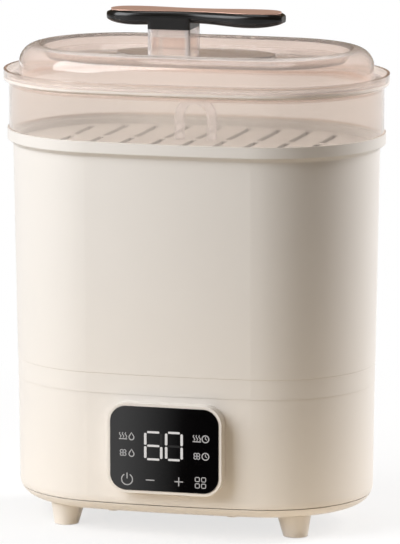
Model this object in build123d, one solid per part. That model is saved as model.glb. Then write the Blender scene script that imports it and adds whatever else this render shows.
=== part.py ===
"""Electric steam sterilizer and dryer for baby bottles, in millimetres.

An oval base holds the heating plate, the drying fan and the electronics. A tall oval
chamber stands on the base, a shallow tray closes it, a clear collar stands on the tray,
and a clear domed lid with a handle closes the stack. +Z is up, the display faces -Y,
and the origin is on the floor in the middle of the four feet.
"""
import os
from math import atan2, cos, degrees, pi, radians, sin, sqrt

from build123d import *

# Oval plan, at the chamber's outer top edge
HALF_LENGTH = 140.0
HALF_DEPTH = 86.5
SIDE_BULGE = 2.5

# Heights of the stacked pieces
FOOT_HEIGHT = 17.5
BASE_HEIGHT = 91.5
CHAMBER_HEIGHT = 190.0
COLLAR_HEIGHT = 47.0
LID_RISE = 24.5

# Clearances
FIT = 0.3
LOOSE = 0.5
SHAFT_CLEARANCE = 0.05

# Base housing
WALL = 2.6
BASE_INSET = 3.1
BASE_FOOT_INSET = 4.2
BASE_ROUND = 13.0
COVER_HEIGHT = 7.5
JOINT_GAP = 0.6
DECK_DROP = 8.0
DECK_THICKNESS = 2.5
LIP_HEIGHT = 7.0
LIP_WALL = 2.2
DECK_LEDGE = 2.0

# Feet
FOOT_FROM_END = 52.0
FOOT_FROM_SIDE = 40.5
FOOT_TOP_RADIUS = 13.0
FOOT_BOTTOM_RADIUS = 9.2
FOOT_LEAN = 1.3
PAD_RADIUS = 6.5
PAD_THICKNESS = 2.4
PAD_PROUD = 0.6

# Cover screws and their bosses
SCREW_RADIUS = 1.5
SCREW_HEAD_RADIUS = 3.0
SCREW_HEAD_HEIGHT = 2.0
BOSS_RADIUS = 4.2
SCREW_LENGTH = 14.0
COVER_BOSS_HEIGHT = 8.0
SCREW_X = 46.0
SCREW_FROM_SIDE = 18.5

# Chamber
CHAMBER_DRAFT = 2.9
FOOT_BAND_HEIGHT = 15.0
FOOT_BAND_STEP = 0.3
RIM_OVERHANG = 4.3
RIM_HEIGHT = 8.4
RIM_UNDERCUT = 3.2
RIM_LIP = 1.0
REBATE_DEPTH = 4.5

# Bottle rack
RACK_THICKNESS = 2.5
RACK_MARGIN = 12.0
PEG_PITCH_X = 78.0
PEG_PITCH_Y = 72.0
PEG_HEIGHT = 60.0
PEG_BASE_WIDTH = 30.0
PEG_TOP_WIDTH = 16.0
PEG_WEB = 3.0
RACK_SLOT_PITCH = 19.5
RACK_SLOT_WIDTH = 9.0
RACK_SLOT_ROWS = 4

# Upper tray and its lifting loop
FLANGE_THICKNESS = 2.0
TRAY_DEPTH = 4.0
TRAY_FLOOR = 2.5
TRAY_WALL = 1.8
TRAY_LEDGE = 1.0
TRAY_LEDGE_REACH = 2.0
RIDGE_HEIGHT = 1.5
RIDGE_WIDTH = 1.4
SLOT_PITCH = 24.0
SLOT_WIDTH = 5.0
SLOT_ROWS = 2
SLOT_RIB = 8.0
TRAY_MARGIN = 12.0
LOOP_WIDTH = 31.0
LOOP_HEIGHT = 31.5
LOOP_BAR_WIDTH = 5.8
LOOP_BAR_DEPTH = 7.0
LOOP_PEG = 3.0

# Clear collar
COLLAR_WALL = 2.2
COLLAR_FLARE = 4.0
COLLAR_RIM_HEIGHT = 8.0
LEDGE_DROP = 6.0

# Clear lid
LID_WALL = 2.2
DOME_INSET = 4.5
DOME_DRAFT = 0.7
DOME_WALL_HEIGHT = 12.5
SHOULDER_RADIUS = 14.0
CROWN_INSET = 21.0
DISH_INSET = 26.0
DISH_DEPTH = 7.5
SKIRT_LENGTH = 6.5
ISLAND_LENGTH = 124.0
ISLAND_DEPTH = 64.0
ISLAND_RISE = 2.0
VENT_COUNT = 5
VENT_PITCH = 12.0
VENT_WIDTH = 4.0
VENT_HEIGHT = 6.0

# Handle
POST_X = -17.4
POST_WIDTH = 33.0
POST_HEIGHT = 18.5
POST_CORNER = 3.0
STUB_DEPTH = 6.0
NECK_HEIGHT = 5.0
GRIP_LENGTH = 137.0
GRIP_WAIST_WIDTH = 26.0
GRIP_END_WIDTH = 35.0
GRIP_WAIST_THICKNESS = 8.8
GRIP_END_THICKNESS = 10.6
GRIP_CORNER = 3.6
INLAY_THICKNESS = 1.1
INLAY_PROUD = 0.3
INLAY_MARGIN = 2.8

# Control panel
GLASS_WIDTH = 83.5
GLASS_HEIGHT = 63.6
GLASS_CORNER = 12.0
GLASS_THICKNESS = 2.0
GLASS_PROUD = 0.5
GLASS_BELOW_TOP = 38.5
BEZEL_BORDER = 2.2
BEZEL_STAND_OFF = 8.8
BEZEL_WALL = 2.5
WINDOW_MARGIN = 10.0
BOARD_THICKNESS = 1.6
BOARD_GAP = 5.5
DISPLAY_WIDTH = 44.0
DISPLAY_HEIGHT = 26.0
KEY_SPRING_RADIUS = 3.0
KEY_SPACING = 18.0
KEY_DROP = 21.0

# Heating plate and what is under it
PLATE_X = -38.0
PLATE_FLANGE_RADIUS = 60.0
PLATE_RADIUS = 54.0
PLATE_FLOOR_RADIUS = 46.0
PLATE_DEPTH = 8.0
PLATE_SHEET = 1.2
SEAL_THICKNESS = 1.2
SPREADER_RADIUS = 40.0
SPREADER_THICKNESS = 5.0
ELEMENT_RADIUS = 28.0
ELEMENT_WIDTH = 8.0
ELEMENT_HEIGHT = 6.5
ELEMENT_ANGLE = 290.0
TERMINAL_LENGTH = 14.0
THERMOSTAT_RADIUS = 8.0
THERMOSTAT_HEIGHT = 9.0
FUSE_LENGTH = 13.0
FUSE_RADIUS = 2.4
FUSE_OFFSET = 15.0

# Drying fan
FAN_FROM_END = 58.0
DUCT_RADIUS = 32.0
DUCT_WALL = 2.4
DUCT_START = 6.5
OUTLET_RADIUS = 23.0
DUCT_FLANGE = 3.0
IMPELLER_GAP = 2.0
IMPELLER_BOTTOM = 13.0
IMPELLER_HEIGHT = 12.0
HUB_RADIUS = 11.0
BLADE_COUNT = 7
BLADE_ROOT_PITCH = 52.0
BLADE_TIP_PITCH = 28.0
BLADE_CAMBER = 2.2
BLADE_THICKNESS = 1.6
MOTOR_RADIUS = 12.5
MOTOR_HEIGHT = 22.0
MOTOR_GAP = 3.5
SHAFT_RADIUS = 1.5
CUP_WALL = 2.0
SPIDER_ARMS = 3
SPIDER_ARM_WIDTH = 4.0
HEATER_LENGTH = 44.0
HEATER_DEPTH = 30.0
HEATER_HEIGHT = 12.0
HEATER_GAP = 3.5
CONE_GAP = 1.0
HEATER_SHELF = 2.0
HEATER_FINS = 9
CAP_RADIUS = 31.0
CAP_HEIGHT = 12.0
CAP_SLOTS = 8
SPOUT_HEIGHT = 6.0

# Filter cover under the fan
FILTER_COVER_RADIUS = 31.0
FILTER_SLOTS = 10
LUG_REACH = 3.0
LUG_THICKNESS = 1.6
LUG_ANGLE = 30.0
TWIST = 25.0
FILTER_RADIUS = 28.0
FILTER_THICKNESS = 4.0

# Mains inlet and the power board
INLET_X = 0.0
INLET_RISE = 32.0
INLET_FLANGE_WIDTH = 50.0
INLET_FLANGE_HEIGHT = 36.0
INLET_FLANGE_OVERLAP = 4.0
INLET_FLANGE_PROUD = 2.0
INLET_BODY_WIDTH = 26.0
INLET_BODY_HEIGHT = 16.0
INLET_BODY_DEPTH = 18.0
INLET_SOCKET_WIDTH = 18.0
INLET_SOCKET_HEIGHT = 9.0
INLET_SOCKET_DEPTH = 13.0
PIN_RADIUS = 1.2
PIN_SPACING = 8.6
POWER_BOARD_FROM_END = 52.0
POWER_BOARD_LENGTH = 54.0
POWER_BOARD_DEPTH = 64.0
POWER_BOARD_RISE = 10.0

# What stands on the power board, placed from its middle
RELAY_X = -14.0
RELAY_Y = -18.0
RELAY_LENGTH = 20.0
RELAY_DEPTH = 16.0
RELAY_HEIGHT = 16.0
TRANSFORMER_X = 10.0
TRANSFORMER_Y = -16.0
TRANSFORMER_LENGTH = 22.0
TRANSFORMER_DEPTH = 20.0
TRANSFORMER_HEIGHT = 22.0
TERMINALS_X = -14.0
TERMINALS_Y = 20.0
TERMINALS_LENGTH = 14.0
TERMINALS_DEPTH = 22.0
TERMINALS_HEIGHT = 12.0
CAPACITOR_X = 12.0
CAPACITOR_Y = 16.0
CAPACITOR_RADIUS = 6.5
CAPACITOR_HEIGHT = 20.0

# Levels and offsets that follow
END_RADIUS = HALF_DEPTH - SIDE_BULGE
END_CENTRE = HALF_LENGTH - END_RADIUS
SIDE_RADIUS = (END_CENTRE**2 + HALF_DEPTH**2 - END_RADIUS**2) / (2 * SIDE_BULGE)
SIDE_CENTRE = SIDE_RADIUS - HALF_DEPTH
END_ANGLE = degrees(atan2(SIDE_CENTRE, END_CENTRE))
FOOT_X = HALF_LENGTH - FOOT_FROM_END
FOOT_Y = HALF_DEPTH - FOOT_FROM_SIDE
SCREW_Y = HALF_DEPTH - SCREW_FROM_SIDE
FAN_X = HALF_LENGTH - FAN_FROM_END
POWER_BOARD_X = POWER_BOARD_FROM_END - HALF_LENGTH

BASE_BOTTOM = FOOT_HEIGHT
BASE_TOP = BASE_BOTTOM + BASE_HEIGHT
COVER_JOINT = BASE_BOTTOM + COVER_HEIGHT
COVER_FLOOR = BASE_BOTTOM + WALL
DECK_TOP = BASE_TOP - DECK_DROP
DECK_BOTTOM = DECK_TOP - DECK_THICKNESS
RIM_JOINT = DECK_BOTTOM - DECK_LEDGE
LIP_TOP = BASE_TOP + LIP_HEIGHT
LIP_OUTER = -CHAMBER_DRAFT - WALL - FIT
CHAMBER_TOP = BASE_TOP + CHAMBER_HEIGHT
REBATE = CHAMBER_TOP - REBATE_DEPTH
REBATE_REACH = RIM_OVERHANG - RIM_LIP
FLANGE_TOP = REBATE + FLANGE_THICKNESS
TRAY_FLOOR_TOP = FLANGE_TOP - TRAY_DEPTH
TRAY_BOTTOM = TRAY_FLOOR_TOP - TRAY_FLOOR
TRAY_OUTER = -WALL - LOOSE - CHAMBER_DRAFT * (CHAMBER_TOP - TRAY_BOTTOM) / CHAMBER_HEIGHT
COLLAR_OUTER = REBATE_REACH - FIT
COLLAR_INNER = COLLAR_OUTER - COLLAR_WALL
COLLAR_TOP = FLANGE_TOP + COLLAR_HEIGHT
COLLAR_RIM_OUTER = COLLAR_OUTER + COLLAR_FLARE
LEDGE = COLLAR_TOP - LEDGE_DROP
LEDGE_REACH = COLLAR_RIM_OUTER - COLLAR_WALL
LID_TOP = LEDGE + LID_RISE
DOME_WALL_TOP = LEDGE + DOME_WALL_HEIGHT
DISH_TOP = LID_TOP - DISH_DEPTH
LID_TOP_OFFSET = -DISH_INSET - LID_WALL
ISLAND_TOP = DISH_TOP + ISLAND_RISE
POST_TOP = ISLAND_TOP + POST_HEIGHT
GRIP_UNDERSIDE = POST_TOP + NECK_HEIGHT
GRIP_TOP = GRIP_UNDERSIDE + GRIP_WAIST_THICKNESS
SEAL_TOP = DECK_TOP + SEAL_THICKNESS
PLATE_TOP = SEAL_TOP + PLATE_SHEET
PLATE_FLOOR = PLATE_TOP - PLATE_DEPTH
SPREADER_TOP = PLATE_FLOOR - PLATE_SHEET
SPREADER_BOTTOM = SPREADER_TOP - SPREADER_THICKNESS
DUCT_BOTTOM = BASE_BOTTOM + DUCT_START
IMPELLER_RADIUS = DUCT_RADIUS - IMPELLER_GAP
HUB_BOTTOM = BASE_BOTTOM + IMPELLER_BOTTOM
HUB_TOP = HUB_BOTTOM + IMPELLER_HEIGHT
MOTOR_BOTTOM = HUB_TOP + MOTOR_GAP
MOTOR_TOP = MOTOR_BOTTOM + MOTOR_HEIGHT
HEATER_BOTTOM = MOTOR_TOP + HEATER_GAP
HEATER_TOP = HEATER_BOTTOM + HEATER_HEIGHT
CONE_BOTTOM = HEATER_TOP + CONE_GAP
SPOUT_TOP = DECK_TOP + SPOUT_HEIGHT
LUG_BOTTOM = COVER_FLOOR + FIT
LUG_TOP = LUG_BOTTOM + LUG_THICKNESS
GLASS_CENTRE_Z = BASE_TOP - GLASS_BELOW_TOP
BEZEL_FRONT = -HALF_DEPTH + BASE_INSET - BEZEL_STAND_OFF
GLASS_FRONT = BEZEL_FRONT - GLASS_PROUD
GLASS_BACK = GLASS_FRONT + GLASS_THICKNESS
BOARD_FRONT = GLASS_BACK + BOARD_GAP
SECTION_REACH = 40.0

nodes = {}


def keep(name, *solids):
    """Note a piece under its name, as one solid or a group of separate ones."""
    nodes[name] = solids[0] if len(solids) == 1 else Compound(children=list(solids))


def section(points, radii=None):
    """A closed section in (offset from the oval, height), with a radius for each corner."""
    if radii is None:
        return make_face(Polyline(*points, close=True))
    return make_face(FilletPolyline(*points, radius=radii, close=True))


def band(low, high):
    """The part of a section between two heights."""
    return Pos(0, (low + high) / 2) * Rectangle(4 * HALF_LENGTH, high - low)


def sector(face, centre_x, centre_y, radius, start, turn):
    """Part of a ring: the section turned about the centre of one arc of the oval."""
    place = Pos(centre_x, centre_y) * Rot(0, 0, start) * Pos(radius, 0, 0)
    return revolve(place * (Plane.XZ * face), Axis((centre_x, centre_y, 0), (0, 0, 1)), turn)


def oval_ring(face):
    """The section taken all round the oval, over its two end arcs and two side arcs."""
    right = sector(face, END_CENTRE, 0, END_RADIUS, -END_ANGLE, 2 * END_ANGLE)
    back = sector(face, 0, -SIDE_CENTRE, SIDE_RADIUS, END_ANGLE, 180 - 2 * END_ANGLE)
    return right + back + mirror(right, Plane.YZ) + mirror(back, Plane.XZ)


def oval_plate(offset, low, high):
    """A flat plate of the oval's outline, moved out by offset, between two heights."""
    x = END_CENTRE + (END_RADIUS + offset) * cos(radians(END_ANGLE))
    y = (END_RADIUS + offset) * sin(radians(END_ANGLE))
    tip = HALF_LENGTH + offset
    side = HALF_DEPTH + offset
    right = ThreePointArc((x, -y), (tip, 0), (x, y))
    back = ThreePointArc((x, y), (0, side), (-x, y))
    left = ThreePointArc((-x, y), (-tip, 0), (-x, -y))
    front = ThreePointArc((-x, -y), (0, -side), (x, -y))
    outline = Face(Wire([right, back, left, front]))
    return extrude(Pos(0, 0, low) * outline, high - low, dir=(0, 0, 1))


def half_depth_at(x, offset):
    """Half the oval's depth at this distance along it, on the outline moved by offset."""
    past_centre = abs(x) - END_CENTRE
    if past_centre > (END_RADIUS + offset) * cos(radians(END_ANGLE)):
        return sqrt(max((END_RADIUS + offset) ** 2 - past_centre**2, 0))
    return sqrt((SIDE_RADIUS + offset) ** 2 - x**2) - SIDE_CENTRE


def drain_slots(offset, pitch, width, rows, low, high):
    """Slots from front to back, in rows parted by cross ribs, inside the oval at offset."""
    slots = []
    columns = int((HALF_LENGTH + offset - width) / pitch)
    row_pitch = (2 * (HALF_DEPTH + offset) + SLOT_RIB) / rows
    for column in range(-columns, columns + 1):
        x = column * pitch
        limit = half_depth_at(abs(x) + width / 2, offset)
        for row in range(rows):
            start = (row - rows / 2) * row_pitch + SLOT_RIB / 2
            front = max(start, -limit)
            back = min(start + row_pitch - SLOT_RIB, limit)
            if back - front > width:
                slot = Box(width, back - front, high - low)
                slots.append(Pos(x, (front + back) / 2, (low + high) / 2) * slot)
    return slots


def post(x, y, radius, low, high):
    """An upright cylinder between two heights."""
    cylinder = Cylinder(radius, high - low, align=(Align.CENTER, Align.CENTER, Align.MIN))
    return Pos(x, y, low) * cylinder


def turned(points, x):
    """A (radius, height) outline turned about the upright axis at x."""
    face = Pos(x, 0, 0) * (Plane.XZ * make_face(Polyline(*points, close=True)))
    return revolve(face, Axis((x, 0, 0), (0, 0, 1)), 360)


def upright_panel(width, height, corner, front, back, x=0.0, z=GLASS_CENTRE_Z):
    """A rounded rectangle that stands across Y, between two places along it."""
    face = Plane.XZ * RectangleRounded(width, height, corner)
    return extrude(Pos(x, front, z) * face, back - front, dir=(0, 1, 0))


def screw(x, y, low, length):
    """A pan-head screw driven up from below, its head resting on the level low."""
    head = post(x, y, SCREW_HEAD_RADIUS, low - SCREW_HEAD_HEIGHT, low)
    return head + post(x, y, SCREW_RADIUS, low, low + length)


SCREW_PLACES = [(x, y) for x in (-SCREW_X, SCREW_X) for y in (-SCREW_Y, SCREW_Y)]


def housing_section(inset):
    """The base housing's outline, drawn in by inset: drafted wall, round and flat bottom."""
    bottom = BASE_BOTTOM + inset
    points = (
        (-SECTION_REACH, bottom),
        (-BASE_FOOT_INSET - inset, bottom),
        (-BASE_INSET - inset, BASE_TOP),
        (-SECTION_REACH, BASE_TOP),
    )
    return section(points, [0, BASE_ROUND - inset, 0, 0])


def base_shell():
    """Wall of the upper housing, open at the front for the panel and at the rear for the inlet."""
    skin = housing_section(0) - housing_section(WALL)
    shell = oval_ring(skin & band(COVER_JOINT + JOINT_GAP, RIM_JOINT))
    shell -= upright_panel(*bezel_outline(-WINDOW_MARGIN), GLASS_FRONT, -HALF_DEPTH / 2)
    width = INLET_FLANGE_WIDTH - 2 * INLET_FLANGE_OVERLAP
    height = INLET_FLANGE_HEIGHT - 2 * INLET_FLANGE_OVERLAP
    inlet_z = BASE_BOTTOM + INLET_RISE
    return shell - upright_panel(width, height, WALL, HALF_DEPTH / 2, HALF_DEPTH, INLET_X, inlet_z)


def base_rim():
    """Top of the housing: its outer rim, a ledge for the deck and a locating lip."""
    skin = housing_section(0) - housing_section(WALL)
    jog = BASE_TOP - WALL
    lip_inner = LIP_OUTER - LIP_WALL
    lip = section((
        (-BASE_INSET - WALL / 2, BASE_TOP),
        (LIP_OUTER, BASE_TOP),
        (LIP_OUTER, LIP_TOP),
        (lip_inner, LIP_TOP),
        (lip_inner, jog),
        (-BASE_INSET - WALL, jog - WALL),
        (-BASE_INSET - WALL / 2, jog - WALL),
    ))
    ledge = section((
        (lip_inner, RIM_JOINT),
        (-BASE_INSET - WALL / 2, RIM_JOINT),
        (-BASE_INSET - WALL / 2, DECK_BOTTOM),
        (lip_inner, DECK_BOTTOM),
    ))
    return oval_ring((skin & band(RIM_JOINT, BASE_TOP)) + lip + ledge)


def base_deck():
    """Flat wet deck on the housing's ledge, open for the plate and for the warm air."""
    deck = oval_plate(-BASE_INSET - WALL - FIT, DECK_BOTTOM, DECK_TOP)
    deck -= post(PLATE_X, 0, PLATE_RADIUS + SEAL_THICKNESS, DECK_BOTTOM, DECK_TOP)
    return deck - post(FAN_X, 0, OUTLET_RADIUS + DUCT_WALL + FIT, DECK_BOTTOM, DECK_TOP)


def deck_boss(x, y):
    """A boss under the deck that takes one cover screw from below."""
    low = COVER_FLOOR + COVER_BOSS_HEIGHT
    bore = post(x, y, SCREW_RADIUS + SHAFT_CLEARANCE, low, low + SCREW_LENGTH)
    return post(x, y, BOSS_RADIUS, low, DECK_BOTTOM) - bore


def bottom_cover():
    """Lower cover: a shallow rounded tray with the air intake and the screw bosses."""
    joint_offset = -BASE_FOOT_INSET - 2 * WALL
    hollow = section((
        (-SECTION_REACH, COVER_FLOOR),
        (-BASE_FOOT_INSET - BASE_ROUND, COVER_FLOOR),
        (joint_offset, COVER_JOINT),
        (-SECTION_REACH, COVER_JOINT),
    ))
    cover = oval_ring((housing_section(0) & band(BASE_BOTTOM, COVER_JOINT)) - hollow)
    cover += oval_plate(-SECTION_REACH + WALL, BASE_BOTTOM, COVER_FLOOR)
    boss_top = COVER_FLOOR + COVER_BOSS_HEIGHT
    for x, y in SCREW_PLACES:
        cover += post(x, y, BOSS_RADIUS, BASE_BOTTOM, boss_top)
    for x, y in SCREW_PLACES:
        cover -= post(x, y, SCREW_RADIUS + FIT, BASE_BOTTOM, boss_top)
        cover -= post(x, y, SCREW_HEAD_RADIUS + FIT, BASE_BOTTOM, COVER_FLOOR + SCREW_HEAD_HEIGHT)
    cover -= post(FAN_X, 0, FILTER_COVER_RADIUS + LOOSE, BASE_BOTTOM, COVER_FLOOR)
    for side in (0, 180):
        cover -= lug(side + TWIST, BASE_BOTTOM, COVER_FLOOR, LUG_ANGLE + 4, LUG_REACH + LOOSE)
    return cover


def lug(angle, low, high, width, reach):
    """A bayonet lug on the filter cover, or the notch that lets it through."""
    start = angle - width / 2
    inner = FILTER_COVER_RADIUS - LUG_REACH
    outer = FILTER_COVER_RADIUS + reach
    block = Pos((inner + outer) / 2, 0) * Rectangle(outer - inner, high - low)
    face = Pos(FAN_X, 0, (low + high) / 2) * Rot(0, 0, start) * (Plane.XZ * block)
    return revolve(face, Axis((FAN_X, 0, 0), (0, 0, 1)), width)


def foot(x, y):
    """A tapered leg whose inner side slants more, with a socket for its rubber pad."""
    lean_x = FOOT_LEAN if x > 0 else -FOOT_LEAN
    top = Pos(x, y, BASE_BOTTOM) * Circle(FOOT_TOP_RADIUS)
    bottom = Pos(x + lean_x, y, PAD_PROUD) * Circle(FOOT_BOTTOM_RADIUS)
    leg = loft([bottom, top], ruled=True)
    return leg - post(x + lean_x, y, PAD_RADIUS, 0, PAD_THICKNESS)


def foot_pad(x, y):
    """The rubber pad in the socket of one foot."""
    lean_x = FOOT_LEAN if x > 0 else -FOOT_LEAN
    return post(x + lean_x, y, PAD_RADIUS, 0, PAD_THICKNESS)


def chamber_shell():
    """Tall drafted oval wall with a stepped foot band and a thick rebated rim."""
    foot_offset = -CHAMBER_DRAFT
    band_top = BASE_TOP + FOOT_BAND_HEIGHT
    band_offset = -CHAMBER_DRAFT * (1 - FOOT_BAND_HEIGHT / CHAMBER_HEIGHT)
    rim_bottom = CHAMBER_TOP - RIM_HEIGHT
    points = (
        (foot_offset - WALL, BASE_TOP),
        (foot_offset, BASE_TOP),
        (band_offset - FOOT_BAND_STEP, band_top),
        (band_offset, band_top + FOOT_BAND_STEP),
        (0, rim_bottom - RIM_UNDERCUT),
        (RIM_OVERHANG, rim_bottom),
        (RIM_OVERHANG, CHAMBER_TOP),
        (REBATE_REACH, CHAMBER_TOP),
        (REBATE_REACH, REBATE),
        (-WALL, REBATE),
    )
    return oval_ring(section(points, [0, 0, 0, 0, 2.4, 0.8, 0, 0, 0, 0]))


def rack_plate():
    """Slotted plate that rests on the base's lip."""
    low = LIP_TOP
    high = LIP_TOP + RACK_THICKNESS
    margin = LIP_OUTER - RACK_MARGIN
    return oval_plate(LIP_OUTER, low, high) - drain_slots(
        margin, RACK_SLOT_PITCH, RACK_SLOT_WIDTH, RACK_SLOT_ROWS, low, high
    )


def rack_pegs():
    """A tapered cross-shaped peg for each of the six bottles, standing on the rack's plate."""
    low = LIP_TOP + RACK_THICKNESS
    fin = make_face(Polyline(
        (-PEG_BASE_WIDTH / 2, low), (PEG_BASE_WIDTH / 2, low),
        (PEG_TOP_WIDTH / 2, low + PEG_HEIGHT), (-PEG_TOP_WIDTH / 2, low + PEG_HEIGHT),
        close=True,
    ))
    web = extrude(Plane.XZ * fin, PEG_WEB / 2, both=True)
    peg = web + Rot(0, 0, 90) * web
    return [
        Pos(column * PEG_PITCH_X, row * PEG_PITCH_Y, 0) * peg
        for column in (-1, 0, 1) for row in (-0.5, 0.5)
    ]


def upper_tray():
    """Ring of the shallow tray: it hangs by its flange in the chamber's rebate."""
    inner = TRAY_OUTER - TRAY_WALL
    ridge_outer = COLLAR_INNER - FIT
    points = (
        (TRAY_OUTER, TRAY_BOTTOM - TRAY_LEDGE),
        (TRAY_OUTER, REBATE),
        (COLLAR_OUTER, REBATE),
        (COLLAR_OUTER, FLANGE_TOP),
        (ridge_outer, FLANGE_TOP),
        (ridge_outer, FLANGE_TOP + RIDGE_HEIGHT),
        (ridge_outer - RIDGE_WIDTH, FLANGE_TOP + RIDGE_HEIGHT),
        (ridge_outer - RIDGE_WIDTH, FLANGE_TOP),
        (inner, FLANGE_TOP),
        (inner, TRAY_BOTTOM),
        (inner - TRAY_LEDGE_REACH, TRAY_BOTTOM),
        (inner - TRAY_LEDGE_REACH, TRAY_BOTTOM - TRAY_LEDGE),
    )
    return oval_ring(section(points))


def tray_grille():
    """Slotted floor of the tray, laid on the ring's ledge."""
    floor = oval_plate(TRAY_OUTER - TRAY_WALL - FIT, TRAY_BOTTOM, TRAY_FLOOR_TOP)
    floor -= drain_slots(
        TRAY_OUTER - TRAY_MARGIN, SLOT_PITCH, SLOT_WIDTH, SLOT_ROWS, TRAY_BOTTOM, TRAY_FLOOR_TOP
    )
    return floor - loop_pegs()


def loop_pegs():
    """The two pegs under the lifting loop's legs, as deep as the tray's floor."""
    centre = (LOOP_WIDTH - LOOP_BAR_WIDTH) / 2
    peg = Box(LOOP_PEG, LOOP_PEG, TRAY_FLOOR)
    return [Pos(x, 0, TRAY_BOTTOM + TRAY_FLOOR / 2) * peg for x in (-centre, centre)]


def tray_lift_loop():
    """Clear inverted-U loop that stands in the middle of the tray's floor."""
    arch = SlotOverall(2 * LOOP_HEIGHT, LOOP_WIDTH, rotation=90)
    hole = SlotOverall(2 * (LOOP_HEIGHT - LOOP_BAR_WIDTH), LOOP_WIDTH - 2 * LOOP_BAR_WIDTH, rotation=90)
    above = Pos(0, LOOP_HEIGHT / 2) * Rectangle(LOOP_WIDTH, LOOP_HEIGHT)
    face = Pos(0, 0, TRAY_FLOOR_TOP) * (Plane.XZ * ((arch - hole) & above))
    loop = extrude(face, LOOP_BAR_DEPTH / 2, both=True)
    for peg in loop_pegs():
        loop += peg
    return loop


def clear_collar():
    """Clear extension ring: a plain wall that flares to a deep rim with a ledge inside."""
    rim_bottom = COLLAR_TOP - COLLAR_RIM_HEIGHT
    points = (
        (COLLAR_INNER, FLANGE_TOP),
        (COLLAR_OUTER, FLANGE_TOP),
        (COLLAR_OUTER, rim_bottom - 1.6),
        (COLLAR_RIM_OUTER, rim_bottom),
        (COLLAR_RIM_OUTER, COLLAR_TOP),
        (LEDGE_REACH, COLLAR_TOP),
        (LEDGE_REACH, LEDGE),
        (COLLAR_INNER, LEDGE),
    )
    return oval_ring(section(points, [0, 0, 2.0, 1.0, 0, 0, 0, 0]))


def lid_ring():
    """The clear lid's wall all round: skirt, brim, domed shoulder, crown and sunk inner edge."""
    brim_outer = LEDGE_REACH - FIT
    brim_top = LEDGE + LID_WALL
    skirt_outer = COLLAR_INNER - FIT
    dome_top_offset = -DOME_INSET - DOME_DRAFT
    points = (
        (skirt_outer, LEDGE - SKIRT_LENGTH),
        (skirt_outer, LEDGE),
        (brim_outer, LEDGE),
        (brim_outer, brim_top),
        (-DOME_INSET, brim_top),
        (dome_top_offset, LID_TOP),
        (-CROWN_INSET, LID_TOP),
        (-DISH_INSET, DISH_TOP),
        (LID_TOP_OFFSET, DISH_TOP),
        (LID_TOP_OFFSET, DISH_TOP - LID_WALL),
        (-DISH_INSET - LID_WALL / 2, DISH_TOP - LID_WALL),
        (-CROWN_INSET - LID_WALL / 2, LID_TOP - LID_WALL),
        (dome_top_offset - LID_WALL, LID_TOP - LID_WALL),
        (-DOME_INSET - LID_WALL, LEDGE),
        (skirt_outer - LID_WALL, LEDGE),
        (skirt_outer - LID_WALL, LEDGE - SKIRT_LENGTH),
    )
    inner_shoulder = SHOULDER_RADIUS - LID_WALL
    radii = [0, 0, 0, 0, 0, SHOULDER_RADIUS, 2, 2, 0, 0, 0, 0, inner_shoulder, 0, 0, 0]
    return section(points, radii)


def lid_dome():
    """Lower part of the clear lid: skirt, brim and the wall below the shoulder, with its vents."""
    dome = oval_ring(lid_ring() & band(LEDGE - SKIRT_LENGTH, DOME_WALL_TOP))
    for index in range(VENT_COUNT):
        x = (index - (VENT_COUNT - 1) / 2) * VENT_PITCH
        vent = Box(VENT_WIDTH, 2 * SHOULDER_RADIUS, VENT_HEIGHT)
        dome -= Pos(x, HALF_DEPTH, LEDGE + LID_WALL + VENT_HEIGHT) * vent
    return dome


def lid_top():
    """Sunk flat top of the lid with its low oval island, inside the crown."""
    top = oval_plate(LID_TOP_OFFSET, DISH_TOP - LID_WALL, DISH_TOP)
    island = Pos(0, 0, DISH_TOP) * Ellipse(ISLAND_LENGTH / 2, ISLAND_DEPTH / 2)
    return top + extrude(island, ISLAND_RISE, taper=30)


def lid_post():
    """Hollow square post on the island, which takes the handle's stub."""
    outer = RectangleRounded(POST_WIDTH, POST_WIDTH, POST_CORNER)
    bore_width = POST_WIDTH - 2 * LID_WALL
    bore = RectangleRounded(bore_width, bore_width, POST_CORNER - LID_WALL / 2)
    return extrude(Pos(POST_X, 0, ISLAND_TOP) * (outer - bore), POST_HEIGHT)


def grip_half_width(share):
    """Half the grip's width at a share of its half-length: a waist, full ends, a round tip."""
    waist_to_end = sin(pi / 2 * min(share / 0.68, 1)) ** 2
    full = (GRIP_WAIST_WIDTH + (GRIP_END_WIDTH - GRIP_WAIST_WIDTH) * waist_to_end) / 2
    closing = max((share - 0.68) / 0.335, 0)
    return full * sqrt(1 - closing**2)


def grip_section(share, side):
    """The grip's rounded section at one station along it."""
    waist_to_end = sin(pi / 2 * min(share / 0.68, 1)) ** 2
    thickness = GRIP_WAIST_THICKNESS + (GRIP_END_THICKNESS - GRIP_WAIST_THICKNESS) * waist_to_end
    closing = max((share - 0.68) / 0.335, 0)
    height = thickness * (1 - closing**2) ** 0.35
    drop = 0.45 * (thickness - height) * closing
    half_width = grip_half_width(share)
    corner = min(GRIP_CORNER, 0.42 * height, 0.9 * half_width)
    top = GRIP_TOP - INLAY_PROUD - drop
    place = Plane(
        origin=(side * share * GRIP_LENGTH / 2, 0, top - height / 2), x_dir=(0, 1, 0), z_dir=(1, 0, 0)
    )
    return place * RectangleRounded(2 * half_width, height, corner)


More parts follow.
